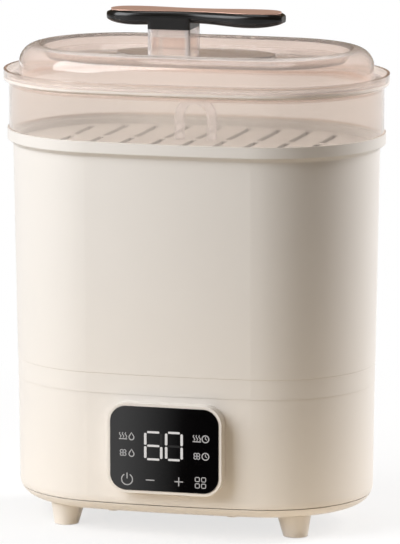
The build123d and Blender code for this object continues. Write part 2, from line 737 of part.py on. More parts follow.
def handle_grip():
    """Black grip, waisted in plan and thinner in the middle, with its square neck."""
    stations = (0.99, 0.95, 0.86, 0.68, 0.35)
    faces = [grip_section(share, -1) for share in stations]
    faces.append(grip_section(0, 1))
    faces += [grip_section(share, 1) for share in reversed(stations)]
    grip = loft(faces)
    neck = Pos(POST_X, 0, POST_TOP) * RectangleRounded(POST_WIDTH, POST_WIDTH, POST_CORNER)
    stub_width = POST_WIDTH - 2 * LID_WALL - 2 * FIT
    stub = Pos(POST_X, 0, POST_TOP - STUB_DEPTH) * RectangleRounded(stub_width, stub_width, POST_CORNER / 2)
    grip += extrude(neck, NECK_HEIGHT + GRIP_CORNER) + extrude(stub, STUB_DEPTH)
    return grip - handle_inlay()


def handle_inlay():
    """Thin metal-finished plate let into the top of the grip, following its waist."""
    shares = (0.0, 0.35, 0.68, 0.86)
    back = [(share * GRIP_LENGTH / 2, grip_half_width(share) - INLAY_MARGIN) for share in shares]
    left_back = [(-x, y) for x, y in reversed(back[1:])]
    tip = 0.96 * GRIP_LENGTH / 2
    points = left_back + back + [(tip, 0)] + [(x, -y) for x, y in reversed(back)]
    points += [(-x, -y) for x, y in back[1:]] + [(-tip, 0)]
    outline = make_face(Spline(*points, periodic=True))
    low = GRIP_TOP - INLAY_THICKNESS
    return extrude(Pos(0, 0, low) * outline, INLAY_THICKNESS, dir=(0, 0, 1))


def bezel_outline(border):
    """Width, height and corner of the panel's outline, grown by border."""
    return GLASS_WIDTH + 2 * border, GLASS_HEIGHT + 2 * border, GLASS_CORNER + border


def panel_bezel():
    """Pod that stands out of the front wall, is hollow for the board and holds the glass."""
    pod = upright_panel(*bezel_outline(BEZEL_BORDER), BEZEL_FRONT, -HALF_DEPTH + 2 * BASE_FOOT_INSET)
    pod -= oval_ring(housing_section(0))
    pod -= upright_panel(GLASS_WIDTH, GLASS_HEIGHT, GLASS_CORNER, BEZEL_FRONT - 1, GLASS_BACK)
    pod -= upright_panel(*bezel_outline(-BEZEL_WALL), BEZEL_FRONT - 1, -HALF_DEPTH / 2)
    return pod


def control_board():
    """Printed board behind the glass, inside the pod."""
    width, height, corner = bezel_outline(-BEZEL_WALL - FIT)
    pod_back = -half_depth_at(width / 2, -BASE_FOOT_INSET)
    return upright_panel(width, height, corner, BOARD_FRONT, min(BOARD_FRONT + BOARD_THICKNESS, pod_back))


def heating_plate():
    """Dished steel plate that boils the water, with a flat flange on its seal."""
    return turned((
        (0, PLATE_FLOOR - PLATE_SHEET),
        (PLATE_FLOOR_RADIUS, PLATE_FLOOR - PLATE_SHEET),
        (PLATE_RADIUS, PLATE_TOP - PLATE_SHEET),
        (PLATE_FLANGE_RADIUS, PLATE_TOP - PLATE_SHEET),
        (PLATE_FLANGE_RADIUS, PLATE_TOP),
        (PLATE_RADIUS - PLATE_SHEET / 2, PLATE_TOP),
        (PLATE_FLOOR_RADIUS - PLATE_SHEET / 2, PLATE_FLOOR),
        (0, PLATE_FLOOR),
    ), PLATE_X)


def plate_seal():
    """Silicone ring over the edge of the deck's opening, under the plate's flange."""
    return turned((
        (PLATE_RADIUS, DECK_BOTTOM),
        (PLATE_RADIUS + SEAL_THICKNESS, DECK_BOTTOM),
        (PLATE_RADIUS + SEAL_THICKNESS, DECK_TOP),
        (PLATE_FLANGE_RADIUS, DECK_TOP),
        (PLATE_FLANGE_RADIUS, SEAL_TOP),
        (PLATE_RADIUS, SEAL_TOP),
    ), PLATE_X)


def heating_element():
    """C-shaped sheathed element pressed flat against the spreader, with two terminals."""
    start = 180 - ELEMENT_ANGLE / 2
    bottom = SPREADER_BOTTOM - ELEMENT_HEIGHT
    sheath = make_face(Polyline(
        (ELEMENT_RADIUS - ELEMENT_WIDTH / 2, SPREADER_BOTTOM),
        (ELEMENT_RADIUS + ELEMENT_WIDTH / 2, SPREADER_BOTTOM),
        (ELEMENT_RADIUS + ELEMENT_WIDTH / 4, bottom),
        (ELEMENT_RADIUS - ELEMENT_WIDTH / 4, bottom),
        close=True,
    ))
    turned_sheath = Pos(PLATE_X, 0, 0) * Rot(0, 0, start) * (Plane.XZ * sheath)
    tube = revolve(turned_sheath, Axis((PLATE_X, 0, 0), (0, 0, 1)), ELEMENT_ANGLE)
    for angle in (start, start + ELEMENT_ANGLE):
        x = PLATE_X + ELEMENT_RADIUS * cos(radians(angle))
        y = ELEMENT_RADIUS * sin(radians(angle))
        tube += post(x, y, ELEMENT_WIDTH / 3, bottom - TERMINAL_LENGTH, SPREADER_BOTTOM)
    return tube


def thermal_fuse():
    """Small fuse body on a strap under the spreader."""
    level = SPREADER_BOTTOM - FUSE_RADIUS
    body = Pos(PLATE_X, FUSE_OFFSET, level) * Rot(0, 90, 0) * Cylinder(FUSE_RADIUS, FUSE_LENGTH)
    strap = Box(FUSE_LENGTH / 2, 3 * FUSE_RADIUS, FUSE_RADIUS)
    return body + Pos(PLATE_X, FUSE_OFFSET, SPREADER_BOTTOM - FUSE_RADIUS / 2) * strap


def fan_duct():
    """Round duct with the motor's spider cup, heater shelf, cone and spout through the deck."""
    outer = DUCT_RADIUS + DUCT_WALL
    throat = OUTLET_RADIUS + DUCT_WALL
    duct = turned((
        (DUCT_RADIUS, DUCT_BOTTOM),
        (outer, DUCT_BOTTOM),
        (outer, CONE_BOTTOM),
        (throat, DECK_BOTTOM - DUCT_WALL),
        (outer + DUCT_FLANGE, DECK_BOTTOM - DUCT_WALL),
        (outer + DUCT_FLANGE, DECK_BOTTOM),
        (throat, DECK_BOTTOM),
        (throat, SPOUT_TOP),
        (OUTLET_RADIUS, SPOUT_TOP),
        (OUTLET_RADIUS, DECK_BOTTOM),
        (DUCT_RADIUS, CONE_BOTTOM),
    ), FAN_X)
    cup_outer = MOTOR_RADIUS + FIT + CUP_WALL
    arm_low = MOTOR_BOTTOM + MOTOR_HEIGHT / 4
    arm_high = MOTOR_BOTTOM + MOTOR_HEIGHT / 2
    duct += post(FAN_X, 0, cup_outer, MOTOR_BOTTOM - CUP_WALL, arm_high)
    for index in range(SPIDER_ARMS):
        arm = Pos((cup_outer + outer - CUP_WALL) / 2, 0, (arm_low + arm_high) / 2) * Box(
            outer - cup_outer + CUP_WALL / 2, SPIDER_ARM_WIDTH, arm_high - arm_low
        )
        duct += Pos(FAN_X, 0, 0) * Rot(0, 0, 60 + 360 * index / SPIDER_ARMS) * arm
    duct -= post(FAN_X, 0, MOTOR_RADIUS + FIT, MOTOR_BOTTOM, arm_high)
    duct -= post(FAN_X, 0, 2 * SHAFT_RADIUS, MOTOR_BOTTOM - CUP_WALL, MOTOR_BOTTOM)
    shelf = post(FAN_X, 0, DUCT_RADIUS + DUCT_WALL / 2, HEATER_BOTTOM - HEATER_SHELF, HEATER_BOTTOM)
    window = Box(HEATER_LENGTH - 2 * HEATER_SHELF, HEATER_DEPTH - 2 * HEATER_SHELF, 3 * HEATER_SHELF)
    return duct + (shelf - Pos(FAN_X, 0, HEATER_BOTTOM - HEATER_SHELF / 2) * window)


def ptc_heater():
    """Drying heater: a frame with upright fins that the air passes between."""
    frame = Box(HEATER_LENGTH, HEATER_DEPTH, HEATER_HEIGHT)
    pitch = (HEATER_LENGTH - 2 * HEATER_SHELF) / HEATER_FINS
    for index in range(HEATER_FINS):
        x = (index - (HEATER_FINS - 1) / 2) * pitch
        frame -= Pos(x, 0, 0) * Box(pitch / 2, HEATER_DEPTH - 3 * HEATER_SHELF, HEATER_HEIGHT)
    return Pos(FAN_X, 0, (HEATER_BOTTOM + HEATER_TOP) / 2) * frame


def impeller_blade():
    """One twisted blade, its chord lying flatter from the hub to the tip."""
    faces = []
    for share in (0.0, 0.5, 1.0):
        radius = HUB_RADIUS - 1 + share * (IMPELLER_RADIUS + 2 - HUB_RADIUS)
        pitch = BLADE_ROOT_PITCH + share * (BLADE_TIP_PITCH - BLADE_ROOT_PITCH)
        chord = (IMPELLER_HEIGHT - BLADE_CAMBER) / sin(radians(BLADE_ROOT_PITCH)) * (1 + 0.4 * share)
        upper = ThreePointArc((-chord / 2, 0), (0, BLADE_CAMBER + BLADE_THICKNESS / 2), (chord / 2, 0))
        lower = ThreePointArc((chord / 2, 0), (0, BLADE_CAMBER - BLADE_THICKNESS / 2), (-chord / 2, 0))
        place = Plane(origin=(radius, 0, (HUB_BOTTOM + HUB_TOP) / 2), x_dir=(0, 1, 0), z_dir=(1, 0, 0))
        faces.append(place * (Rot(0, 0, pitch) * make_face(upper + lower)))
    swept = loft(faces)
    return swept & post(0, 0, IMPELLER_RADIUS, HUB_BOTTOM, HUB_TOP)


def fan_impeller():
    """Axial impeller: twisted blades round a cupped hub that is pressed on the shaft."""
    impeller = post(0, 0, HUB_RADIUS, HUB_BOTTOM, HUB_TOP)
    impeller -= post(0, 0, HUB_RADIUS - CUP_WALL, HUB_BOTTOM + CUP_WALL, HUB_TOP)
    impeller += post(0, 0, 2 * SHAFT_RADIUS, HUB_BOTTOM, HUB_TOP)
    blade = impeller_blade()
    for index in range(BLADE_COUNT):
        impeller += Rot(0, 0, 360 * index / BLADE_COUNT) * blade
    impeller -= post(0, 0, SHAFT_RADIUS, HUB_BOTTOM + CUP_WALL, HUB_TOP)
    return Pos(FAN_X, 0, 0) * impeller


def fan_motor():
    """Round motor can with a bore for its shaft."""
    can = post(FAN_X, 0, MOTOR_RADIUS, MOTOR_BOTTOM, MOTOR_TOP)
    return can - post(FAN_X, 0, SHAFT_RADIUS + SHAFT_CLEARANCE, MOTOR_BOTTOM, MOTOR_TOP - CUP_WALL)


def outlet_cap():
    """Round cap over the warm-air spout, open through slots in its side."""
    top = DECK_TOP + CAP_HEIGHT
    cap = post(FAN_X, 0, CAP_RADIUS, DECK_TOP, top)
    cap -= post(FAN_X, 0, CAP_RADIUS - CUP_WALL, DECK_TOP, top - CUP_WALL)
    slot_height = CAP_HEIGHT / 2
    for index in range(CAP_SLOTS):
        slot = Pos(CAP_RADIUS, 0, top - CUP_WALL - slot_height / 2 - 1) * Box(
            3 * CUP_WALL, CAP_RADIUS * pi / CAP_SLOTS, slot_height
        )
        cap -= Pos(FAN_X, 0, 0) * Rot(0, 0, 360 * index / CAP_SLOTS) * slot
    return cap


def filter_cover():
    """Round grille that closes the air intake with a short twist on two lugs."""
    cover = post(FAN_X, 0, FILTER_COVER_RADIUS, BASE_BOTTOM, COVER_FLOOR)
    rim_inner = FILTER_COVER_RADIUS - LUG_REACH
    rim = post(FAN_X, 0, FILTER_COVER_RADIUS, COVER_FLOOR, LUG_TOP)
    cover += rim - post(FAN_X, 0, rim_inner, COVER_FLOOR, LUG_TOP)
    for side in (0, 180):
        cover += lug(side, LUG_BOTTOM, LUG_TOP, LUG_ANGLE, LUG_REACH)
    slot_start = FILTER_COVER_RADIUS / 3
    slot_end = rim_inner - WALL
    for index in range(FILTER_SLOTS):
        slot = Pos((slot_start + slot_end) / 2, 0, 0) * Box(slot_end - slot_start, 3.0, 4 * WALL)
        cover -= Pos(FAN_X, 0, BASE_BOTTOM) * Rot(0, 0, 360 * (index + 0.5) / FILTER_SLOTS) * slot
    return cover


def mains_inlet():
    """Two-pin inlet let into the rear wall, its flange against the outside."""
    z = BASE_BOTTOM + INLET_RISE
    wall = half_depth_at(INLET_X, -BASE_FOOT_INSET)
    face = wall + INLET_FLANGE_PROUD
    flange = upright_panel(
        INLET_FLANGE_WIDTH, INLET_FLANGE_HEIGHT, 2 * WALL, wall - WALL, face, INLET_X, z,
    ) - oval_ring(housing_section(0))
    body = upright_panel(INLET_BODY_WIDTH, INLET_BODY_HEIGHT, WALL, face - INLET_BODY_DEPTH, face, INLET_X, z)
    slot = Plane.XZ * SlotOverall(INLET_SOCKET_WIDTH, INLET_SOCKET_HEIGHT)
    socket = extrude(
        Pos(INLET_X, face - INLET_SOCKET_DEPTH, z) * slot, INLET_SOCKET_DEPTH, dir=(0, 1, 0)
    )
    return flange + body - socket


def inlet_pins():
    """The inlet's two round pins."""
    z = BASE_BOTTOM + INLET_RISE
    face = half_depth_at(INLET_X, -BASE_FOOT_INSET) + INLET_FLANGE_PROUD
    length = INLET_SOCKET_DEPTH - 2 * PIN_RADIUS
    middle = face - INLET_SOCKET_DEPTH + length / 2
    pin = Rot(90, 0, 0) * Cylinder(PIN_RADIUS, length)
    return [Pos(INLET_X + side * PIN_SPACING / 2, middle, z) * pin for side in (-1, 1)]


def power_board():
    """Mains board on four standoffs over the bottom cover."""
    level = COVER_FLOOR + POWER_BOARD_RISE
    board = Pos(POWER_BOARD_X, 0, level + BOARD_THICKNESS / 2) * Box(
        POWER_BOARD_LENGTH, POWER_BOARD_DEPTH, BOARD_THICKNESS
    )
    for side_x in (-1, 1):
        for side_y in (-1, 1):
            x = POWER_BOARD_X + side_x * (POWER_BOARD_LENGTH / 2 - BOSS_RADIUS)
            y = side_y * (POWER_BOARD_DEPTH / 2 - BOSS_RADIUS)
            board += post(x, y, BOSS_RADIUS - 1, COVER_FLOOR, level)
    return board


def board_components():
    """Relay, transformer, capacitor and terminal block standing on the mains board."""
    level = COVER_FLOOR + POWER_BOARD_RISE + BOARD_THICKNESS
    blocks = (
        (RELAY_X, RELAY_Y, RELAY_LENGTH, RELAY_DEPTH, RELAY_HEIGHT),
        (TRANSFORMER_X, TRANSFORMER_Y, TRANSFORMER_LENGTH, TRANSFORMER_DEPTH, TRANSFORMER_HEIGHT),
        (TERMINALS_X, TERMINALS_Y, TERMINALS_LENGTH, TERMINALS_DEPTH, TERMINALS_HEIGHT),
    )
    parts = [
        Pos(POWER_BOARD_X + x, y, level + height / 2) * Box(length, depth, height)
        for x, y, length, depth, height in blocks
    ]
    capacitor_x = POWER_BOARD_X + CAPACITOR_X
    parts.append(post(capacitor_x, CAPACITOR_Y, CAPACITOR_RADIUS, level, level + CAPACITOR_HEIGHT))
    return parts


FOOT_PLACES = [(x, y) for x in (-FOOT_X, FOOT_X) for y in (-FOOT_Y, FOOT_Y)]

keep("feet", *[foot(x, y) for x, y in FOOT_PLACES])
keep("foot_pads", *[foot_pad(x, y) for x, y in FOOT_PLACES])
keep("bottom_cover", bottom_cover())
keep("cover_screws", *[
    screw(x, y, COVER_FLOOR + SCREW_HEAD_HEIGHT, SCREW_LENGTH) for x, y in SCREW_PLACES
])
keep("base_shell", base_shell())
keep("base_rim", base_rim())
keep("base_deck", base_deck())
keep("deck_bosses", *[deck_boss(x, y) for x, y in SCREW_PLACES])
keep("panel_bezel", panel_bezel())
keep("panel_glass", upright_panel(GLASS_WIDTH - FIT, GLASS_HEIGHT - FIT, GLASS_CORNER, GLASS_FRONT, GLASS_BACK))
keep("control_board", control_board())
keep("display_module", Pos(0, (GLASS_BACK + BOARD_FRONT) / 2, GLASS_CENTRE_Z) * Box(
    DISPLAY_WIDTH, BOARD_GAP, DISPLAY_HEIGHT
))
keep("touch_springs", *[
    Pos((index - 1.5) * KEY_SPACING, (GLASS_BACK + BOARD_FRONT) / 2, GLASS_CENTRE_Z - KEY_DROP)
    * Rot(90, 0, 0) * Cylinder(KEY_SPRING_RADIUS, BOARD_GAP)
    for index in range(4)
])
keep("heating_plate", heating_plate())
keep("plate_seal", plate_seal())
keep("heat_spreader", post(PLATE_X, 0, SPREADER_RADIUS, SPREADER_BOTTOM, SPREADER_TOP))
keep("heating_element", heating_element())
keep("thermostat", post(
    PLATE_X, 0, THERMOSTAT_RADIUS, SPREADER_BOTTOM - THERMOSTAT_HEIGHT, SPREADER_BOTTOM
))
keep("thermal_fuse", thermal_fuse())
keep("fan_duct", fan_duct())
keep("fan_motor", fan_motor())
keep("ptc_heater", ptc_heater())
keep("outlet_cap", outlet_cap())
keep("fan_impeller", fan_impeller())
keep("motor_shaft", post(FAN_X, 0, SHAFT_RADIUS, HUB_BOTTOM + CUP_WALL, MOTOR_TOP - 2 * CUP_WALL))
keep("filter_cover", filter_cover())
keep("air_filter", post(FAN_X, 0, FILTER_RADIUS - FIT, COVER_FLOOR, COVER_FLOOR + FILTER_THICKNESS))
keep("power_board", power_board())
keep("board_components", *board_components())
keep("mains_inlet", mains_inlet())
keep("inlet_pins", *inlet_pins())
keep("rack_plate", rack_plate())
keep("rack_pegs", *rack_pegs())
keep("chamber_shell", chamber_shell())
keep("upper_tray", upper_tray())
keep("tray_grille", tray_grille())
keep("tray_lift_loop", tray_lift_loop())
keep("clear_collar", clear_collar())
keep("lid_dome", lid_dome())
keep("lid_crown", oval_ring(lid_ring() & band(DOME_WALL_TOP, LID_TOP)))
keep("lid_top", lid_top())
keep("lid_post", lid_post())
keep("handle_grip", handle_grip())
keep("handle_inlay", handle_inlay())

os.makedirs("parts", exist_ok=True)
for name, shape in nodes.items():
    export_step(shape, f"parts/{name}.step")
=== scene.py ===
"""Looks for an electric steam sterilizer and dryer for baby bottles.

The sections follow the object as it is put together: base, what is inside it, rack, chamber,
tray, collar, lid and handle, and then the stage, the lights and the camera.
"""
from math import atan2, ceil, cos, pi, radians, sin, sqrt, tan

import bmesh
import bpy
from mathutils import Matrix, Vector


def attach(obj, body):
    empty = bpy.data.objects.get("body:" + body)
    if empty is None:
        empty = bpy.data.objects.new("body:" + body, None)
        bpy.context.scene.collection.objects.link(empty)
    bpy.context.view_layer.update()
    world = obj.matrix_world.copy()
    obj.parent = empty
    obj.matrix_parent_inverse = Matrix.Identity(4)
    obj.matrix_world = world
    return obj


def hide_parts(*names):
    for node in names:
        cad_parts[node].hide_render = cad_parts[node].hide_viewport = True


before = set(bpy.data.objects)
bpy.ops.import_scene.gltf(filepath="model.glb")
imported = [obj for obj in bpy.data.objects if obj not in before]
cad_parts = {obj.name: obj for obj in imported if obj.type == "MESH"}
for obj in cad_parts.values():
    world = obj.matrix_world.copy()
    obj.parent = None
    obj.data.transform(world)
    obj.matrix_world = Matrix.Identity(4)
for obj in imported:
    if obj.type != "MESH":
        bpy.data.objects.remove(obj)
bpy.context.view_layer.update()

# Feet
# Four tapered legs in the same cream polypropylene as the housing, moulded with a fine
# spark-eroded grain. Each snaps up into the bottom cover.
CREAM = (0.80, 0.765, 0.725)
CREAM_SHADE = (0.778, 0.742, 0.700)


def add_node(tree, kind, **values):
    """Adds a shader node and sets its inputs by name, with underscores for spaces."""
    made = tree.nodes.new("ShaderNode" + kind)
    for name, value in values.items():
        made.inputs[name.replace("_", " ")].default_value = value
    return made


def surface_of(name):
    """A new material with its tree, its Principled node and its Object coordinates."""
    material = bpy.data.materials.new(name)
    material.use_nodes = True
    tree = material.node_tree
    shader = tree.nodes["Principled BSDF"]
    return material, tree, shader, add_node(tree, "TexCoord").outputs["Object"]


def spread(tree, value, low, high):
    """Maps a 0 to 1 value between two numbers."""
    spreader = add_node(tree, "MapRange", To_Min=low, To_Max=high)
    tree.links.new(value, spreader.inputs["Value"])
    return spreader.outputs["Result"]


def tint(tree, value, first, second):
    """Mixes two colours by a value."""
    mix = tree.nodes.new("ShaderNodeMix")
    mix.data_type = "RGBA"
    mix.inputs["A"].default_value = (*first, 1)
    mix.inputs["B"].default_value = (*second, 1)
    tree.links.new(value, mix.inputs["Factor"])
    return mix.outputs["Result"]


def height_band(tree, place, low, high):
    """1 between two heights, and 0 above and below them."""
    height = add_node(tree, "SeparateXYZ")
    tree.links.new(place, height.inputs[0])
    inside = tree.nodes.new("ShaderNodeMath")
    inside.operation = "COMPARE"
    inside.inputs[1].default_value = (low + high) / 2
    inside.inputs[2].default_value = (high - low) / 2
    tree.links.new(height.outputs["Z"], inside.inputs[0])
    return inside.outputs[0]


def rounded_edges(tree, radius, place=None, plain=None):
    """The surface's direction with its edges eased, but not between two plain heights."""
    edge = add_node(tree, "Bevel", Radius=radius)
    edge.samples = 6
    if not plain:
        return edge.outputs["Normal"]
    mix = tree.nodes.new("ShaderNodeMix")
    mix.data_type = "VECTOR"
    tree.links.new(height_band(tree, place, *plain), mix.inputs["Factor"])
    tree.links.new(edge.outputs["Normal"], mix.inputs[4])
    tree.links.new(add_node(tree, "NewGeometry").outputs["Normal"], mix.inputs[5])
    return mix.outputs[1]


def raised(tree, height, depth, normal=None):
    """A bump of a real depth from a height."""
    bump = add_node(tree, "Bump", Strength=1.0, Distance=depth)
    tree.links.new(height, bump.inputs["Height"])
    if normal is not None:
        tree.links.new(normal, bump.inputs["Normal"])
    return bump.outputs["Normal"]


def noise(tree, place, scale, detail=2.0, roughness=0.5):
    """Noise on the piece's own coordinates, its scale in cells a metre."""
    made = add_node(tree, "TexNoise", Scale=scale, Detail=detail, Roughness=roughness)
    tree.links.new(place, made.inputs["Vector"])
    return made.outputs["Fac"]


def moulded(name, colour, shade, smooth, rough, grain=0.000012, edge=0.0004, plain=None):
    """Moulded plastic: faint clouds in its colour, uneven gloss, fine grain and eased edges."""
    material, tree, plastic, place = surface_of(name)
    tree.links.new(tint(tree, noise(tree, place, 14), colour, shade), plastic.inputs["Base Color"])
    gloss = spread(tree, noise(tree, place, 60, 4), smooth, rough)
    tree.links.new(gloss, plastic.inputs["Roughness"])
    eased = rounded_edges(tree, edge, place, plain)
    normal = raised(tree, noise(tree, place, 2600), grain, eased)
    tree.links.new(normal, plastic.inputs["Normal"])
    plastic.inputs["IOR"].default_value = 1.49
    return material


def dress(material, *names):
    """Gives carried-over pieces their material."""
    for name in names:
        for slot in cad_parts[name].material_slots:
            slot.material = material


cream = moulded("cream_plastic", CREAM, CREAM_SHADE, 0.30, 0.40)
dress(cream, "feet")

# Foot pads
# Soft grey rubber discs pressed into the sockets under the feet, with faint clouds in their grey.
pad_rubber = moulded("pad_rubber", (0.42, 0.40, 0.37), (0.34, 0.33, 0.31), 0.75, 0.92, 0.00006)
dress(pad_rubber, "foot_pads")

# Bottom cover
# Shallow cream polypropylene moulding that closes the base from below. Four screws hold it
# against the deck's bosses.
dress(cream, "bottom_cover")

# Cover screws
# Four pan-head steel screws with a cross recess, cold headed and zinc plated. They are driven
# up through the bottom cover into the deck's bosses.
SCREW_SPAN_X, SCREW_SPAN_Y = 0.092, 0.136
SCREW_FACE_Z = 0.0221
screw_steel, tree, metal, place = surface_of("zinc_plated_steel")
metal.inputs["Metallic"].default_value = 1
worn = noise(tree, place, 900, 5, 0.6)
tree.links.new(tint(tree, worn, (0.62, 0.63, 0.65), (0.46, 0.46, 0.47)), metal.inputs["Base Color"])
tree.links.new(spread(tree, worn, 0.22, 0.42), metal.inputs["Roughness"])
tree.links.new(raised(tree, worn, 0.00003), metal.inputs["Normal"])


def named_tree(name, sizes):
    """A geometry tree with a named length input for each size, and a geometry output."""
    made = bpy.data.node_groups.new(name, "GeometryNodeTree")
    made.interface.new_socket("Geometry", in_out="OUTPUT", socket_type="NodeSocketGeometry")
    sockets = {}
    for label, value in sizes.items():
        socket = made.interface.new_socket(label, in_out="INPUT", socket_type="NodeSocketFloat")
        socket.default_value = value
        sockets[label] = socket.identifier
    return made, made.nodes.new("NodeGroupInput"), made.nodes.new("NodeGroupOutput"), sockets


def part(tree, kind, **values):
    """Adds a geometry node and sets or links its inputs by name."""
    made = tree.nodes.new(kind)
    for name, value in values.items():
        socket = made.inputs[name.replace("_", " ")]
        if isinstance(value, bpy.types.NodeSocket):
            tree.links.new(value, socket)
        else:
            socket.default_value = value
    return made


def grown(name, tree, sizes, sockets, geometry, out, material, body):
    """Ends a geometry tree, turns what it grows into a plain mesh and sets it on its body."""
    real = part(tree, "GeometryNodeRealizeInstances", Geometry=geometry)
    coat = part(tree, "GeometryNodeSetMaterial", Geometry=real.outputs["Geometry"])
    coat.inputs["Material"].default_value = material
    tree.links.new(coat.outputs["Geometry"], out.inputs["Geometry"])
    piece = bpy.data.objects.new(name, bpy.data.meshes.new(name))
    bpy.context.scene.collection.objects.link(piece)
    modifier = piece.modifiers.new("grow", "NODES")
    modifier.node_group = tree
    for label, value in sizes.items():
        modifier[sockets[label]] = value
    bpy.context.view_layer.update()
    evaluated = piece.evaluated_get(bpy.context.evaluated_depsgraph_get())
    mesh = bpy.data.meshes.new_from_object(evaluated)
    piece.modifiers.remove(modifier)
    piece.data = mesh
    mesh.name = name
    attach(piece, body)
    return piece


screw_sizes = {"Head Radius": 0.003, "Head Height": 0.002, "Shank Radius": 0.0015,
               "Shank Length": 0.0135, "Recess Width": 0.0008}
HEAD_FACE_RADIUS, RECESS_LENGTH, RECESS_CUT = 0.0022, 0.0034, 0.0024
tree, sizes_in, out, sockets = named_tree("cover_screws_tree", screw_sizes)
head = part(tree, "GeometryNodeMeshCone", Vertices=40, Radius_Top=sizes_in.outputs["Head Radius"],
            Radius_Bottom=HEAD_FACE_RADIUS, Depth=sizes_in.outputs["Head Height"])
shank = part(tree, "GeometryNodeMeshCylinder", Vertices=24, Radius=sizes_in.outputs["Shank Radius"],
             Depth=sizes_in.outputs["Shank Length"])
middle = part(tree, "ShaderNodeMath")
middle.operation = "MULTIPLY"
middle.inputs[1].default_value = 0.5
tree.links.new(sizes_in.outputs["Shank Length"], middle.inputs[0])
lift = part(tree, "ShaderNodeCombineXYZ", Z=middle.outputs[0])
raise_shank = part(tree, "GeometryNodeTransform", Geometry=shank.outputs["Mesh"],
                   Translation=lift.outputs[0])
cross = part(tree, "GeometryNodeJoinGeometry")
for turn in (0, pi / 2):
    bar_size = part(tree, "ShaderNodeCombineXYZ", X=RECESS_LENGTH,
                    Y=sizes_in.outputs["Recess Width"], Z=RECESS_CUT)
    bar = part(tree, "GeometryNodeMeshCube", Size=bar_size.outputs[0])
    turned_bar = part(tree, "GeometryNodeTransform", Geometry=bar.outputs["Mesh"],
                      Rotation=(0, 0, turn))
    tree.links.new(turned_bar.outputs["Geometry"], cross.inputs["Geometry"])
cut = part(tree, "GeometryNodeMeshBoolean", Mesh_1=head.outputs["Mesh"])
cut.operation = "DIFFERENCE"
tree.links.new(cross.outputs["Geometry"], cut.inputs["Mesh 2"])
drop_head = part(tree, "GeometryNodeTransform", Geometry=cut.outputs["Mesh"],
                 Translation=(0, 0, -screw_sizes["Head Height"]))
one_screw = part(tree, "GeometryNodeJoinGeometry", Geometry=drop_head.outputs["Geometry"])
tree.links.new(raise_shank.outputs["Geometry"], one_screw.inputs["Geometry"])
corners = part(tree, "GeometryNodeMeshGrid", Size_X=SCREW_SPAN_X, Size_Y=SCREW_SPAN_Y,
               Vertices_X=2, Vertices_Y=2)
screws = part(tree, "GeometryNodeInstanceOnPoints", Points=corners.outputs["Mesh"],
              Instance=one_screw.outputs["Geometry"])
at_face = part(tree, "GeometryNodeTransform", Geometry=screws.outputs["Instances"],
               Translation=(0, 0, SCREW_FACE_Z))
cover_screw_set = grown("cover_screw_set", tree, screw_sizes, sockets,
                        at_face.outputs["Geometry"], out, screw_steel, "base")
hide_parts("cover_screws")

# Base housing and the panel's pod
# The housing's wall and rim are one cream moulding, without a line where they meet. The pod's
# bezel frames the glass and is welded to the front wall.
SEAM_LOW, SEAM_HIGH = 0.0945, 0.0985
cream_housing = moulded("cream_housing", CREAM, CREAM_SHADE, 0.30, 0.40,
                        plain=(SEAM_LOW, SEAM_HIGH))
dress(cream_housing, "base_shell", "base_rim")
dress(cream, "panel_bezel")

# Panel glass
# Smoked glass with a polished face and eased edges, bonded into the pod's bezel. The digits
# and marks shine through it.
GLASS_FACE_Y = -0.0927
panel_glass, tree, glass, place = surface_of("smoked_panel_glass")
smear = noise(tree, place, 30, 5, 0.6)
smoked = tint(tree, smear, (0.0010, 0.0008, 0.0010), (0.0018, 0.0015, 0.0018))
tree.links.new(smoked, glass.inputs["Base Color"])
tree.links.new(spread(tree, smear, 0.05, 0.11), glass.inputs["Roughness"])
tree.links.new(rounded_edges(tree, 0.0005), glass.inputs["Normal"])
glass.inputs["IOR"].default_value = 1.5
glass.inputs["Coat Weight"].default_value = 0.3
dress(panel_glass, "panel_glass")

# Digits of the display
# Two seven-segment digits of diffusing white plastic, lit from behind. The two bars that are
# off stay as dark as the display behind the glass.
DIGIT_FACE_Y = GLASS_FACE_Y - 0.0001
SEGMENT_WIDTH, LEVEL_WIDTH = 0.0019, 0.0016
BAR_GAP, CORNER_GAP = 0.0012, 0.0010
SIX_PLACE = (-0.0083, 0.0621, 0.0842, 0.0142)
ZERO_PLACE = (0.0076, 0.0624, 0.0845, 0.0138)


def lit_from_behind(name, colour, shade, strength):
    """White print that glows, with faint clouds in its light."""
    material, tree, lamp, place = surface_of(name)
    glow = noise(tree, place, 500)
    tree.links.new(tint(tree, glow, colour, shade), lamp.inputs["Base Color"])
    light = tint(tree, glow, (1.0, 1.0, 1.0), (0.9, 0.9, 0.92))
    tree.links.new(light, lamp.inputs["Emission Color"])
    lamp.inputs["Emission Strength"].default_value = strength
    lamp.inputs["Roughness"].default_value = 0.4
    return material


lit_white = lit_from_behind("lit_white", (0.45, 0.45, 0.46), (0.41, 0.41, 0.42), 0.27)
lit_soft = lit_from_behind("lit_soft_white", (0.27, 0.27, 0.28), (0.24, 0.24, 0.25), 0.17)
unlit, tree, lamp, place = surface_of("unlit_segment")
tree.links.new(tint(tree, noise(tree, place, 500), (0.012, 0.012, 0.013), (0.016, 0.016, 0.017)),
               lamp.inputs["Base Color"])
lamp.inputs["Roughness"].default_value = 0.3


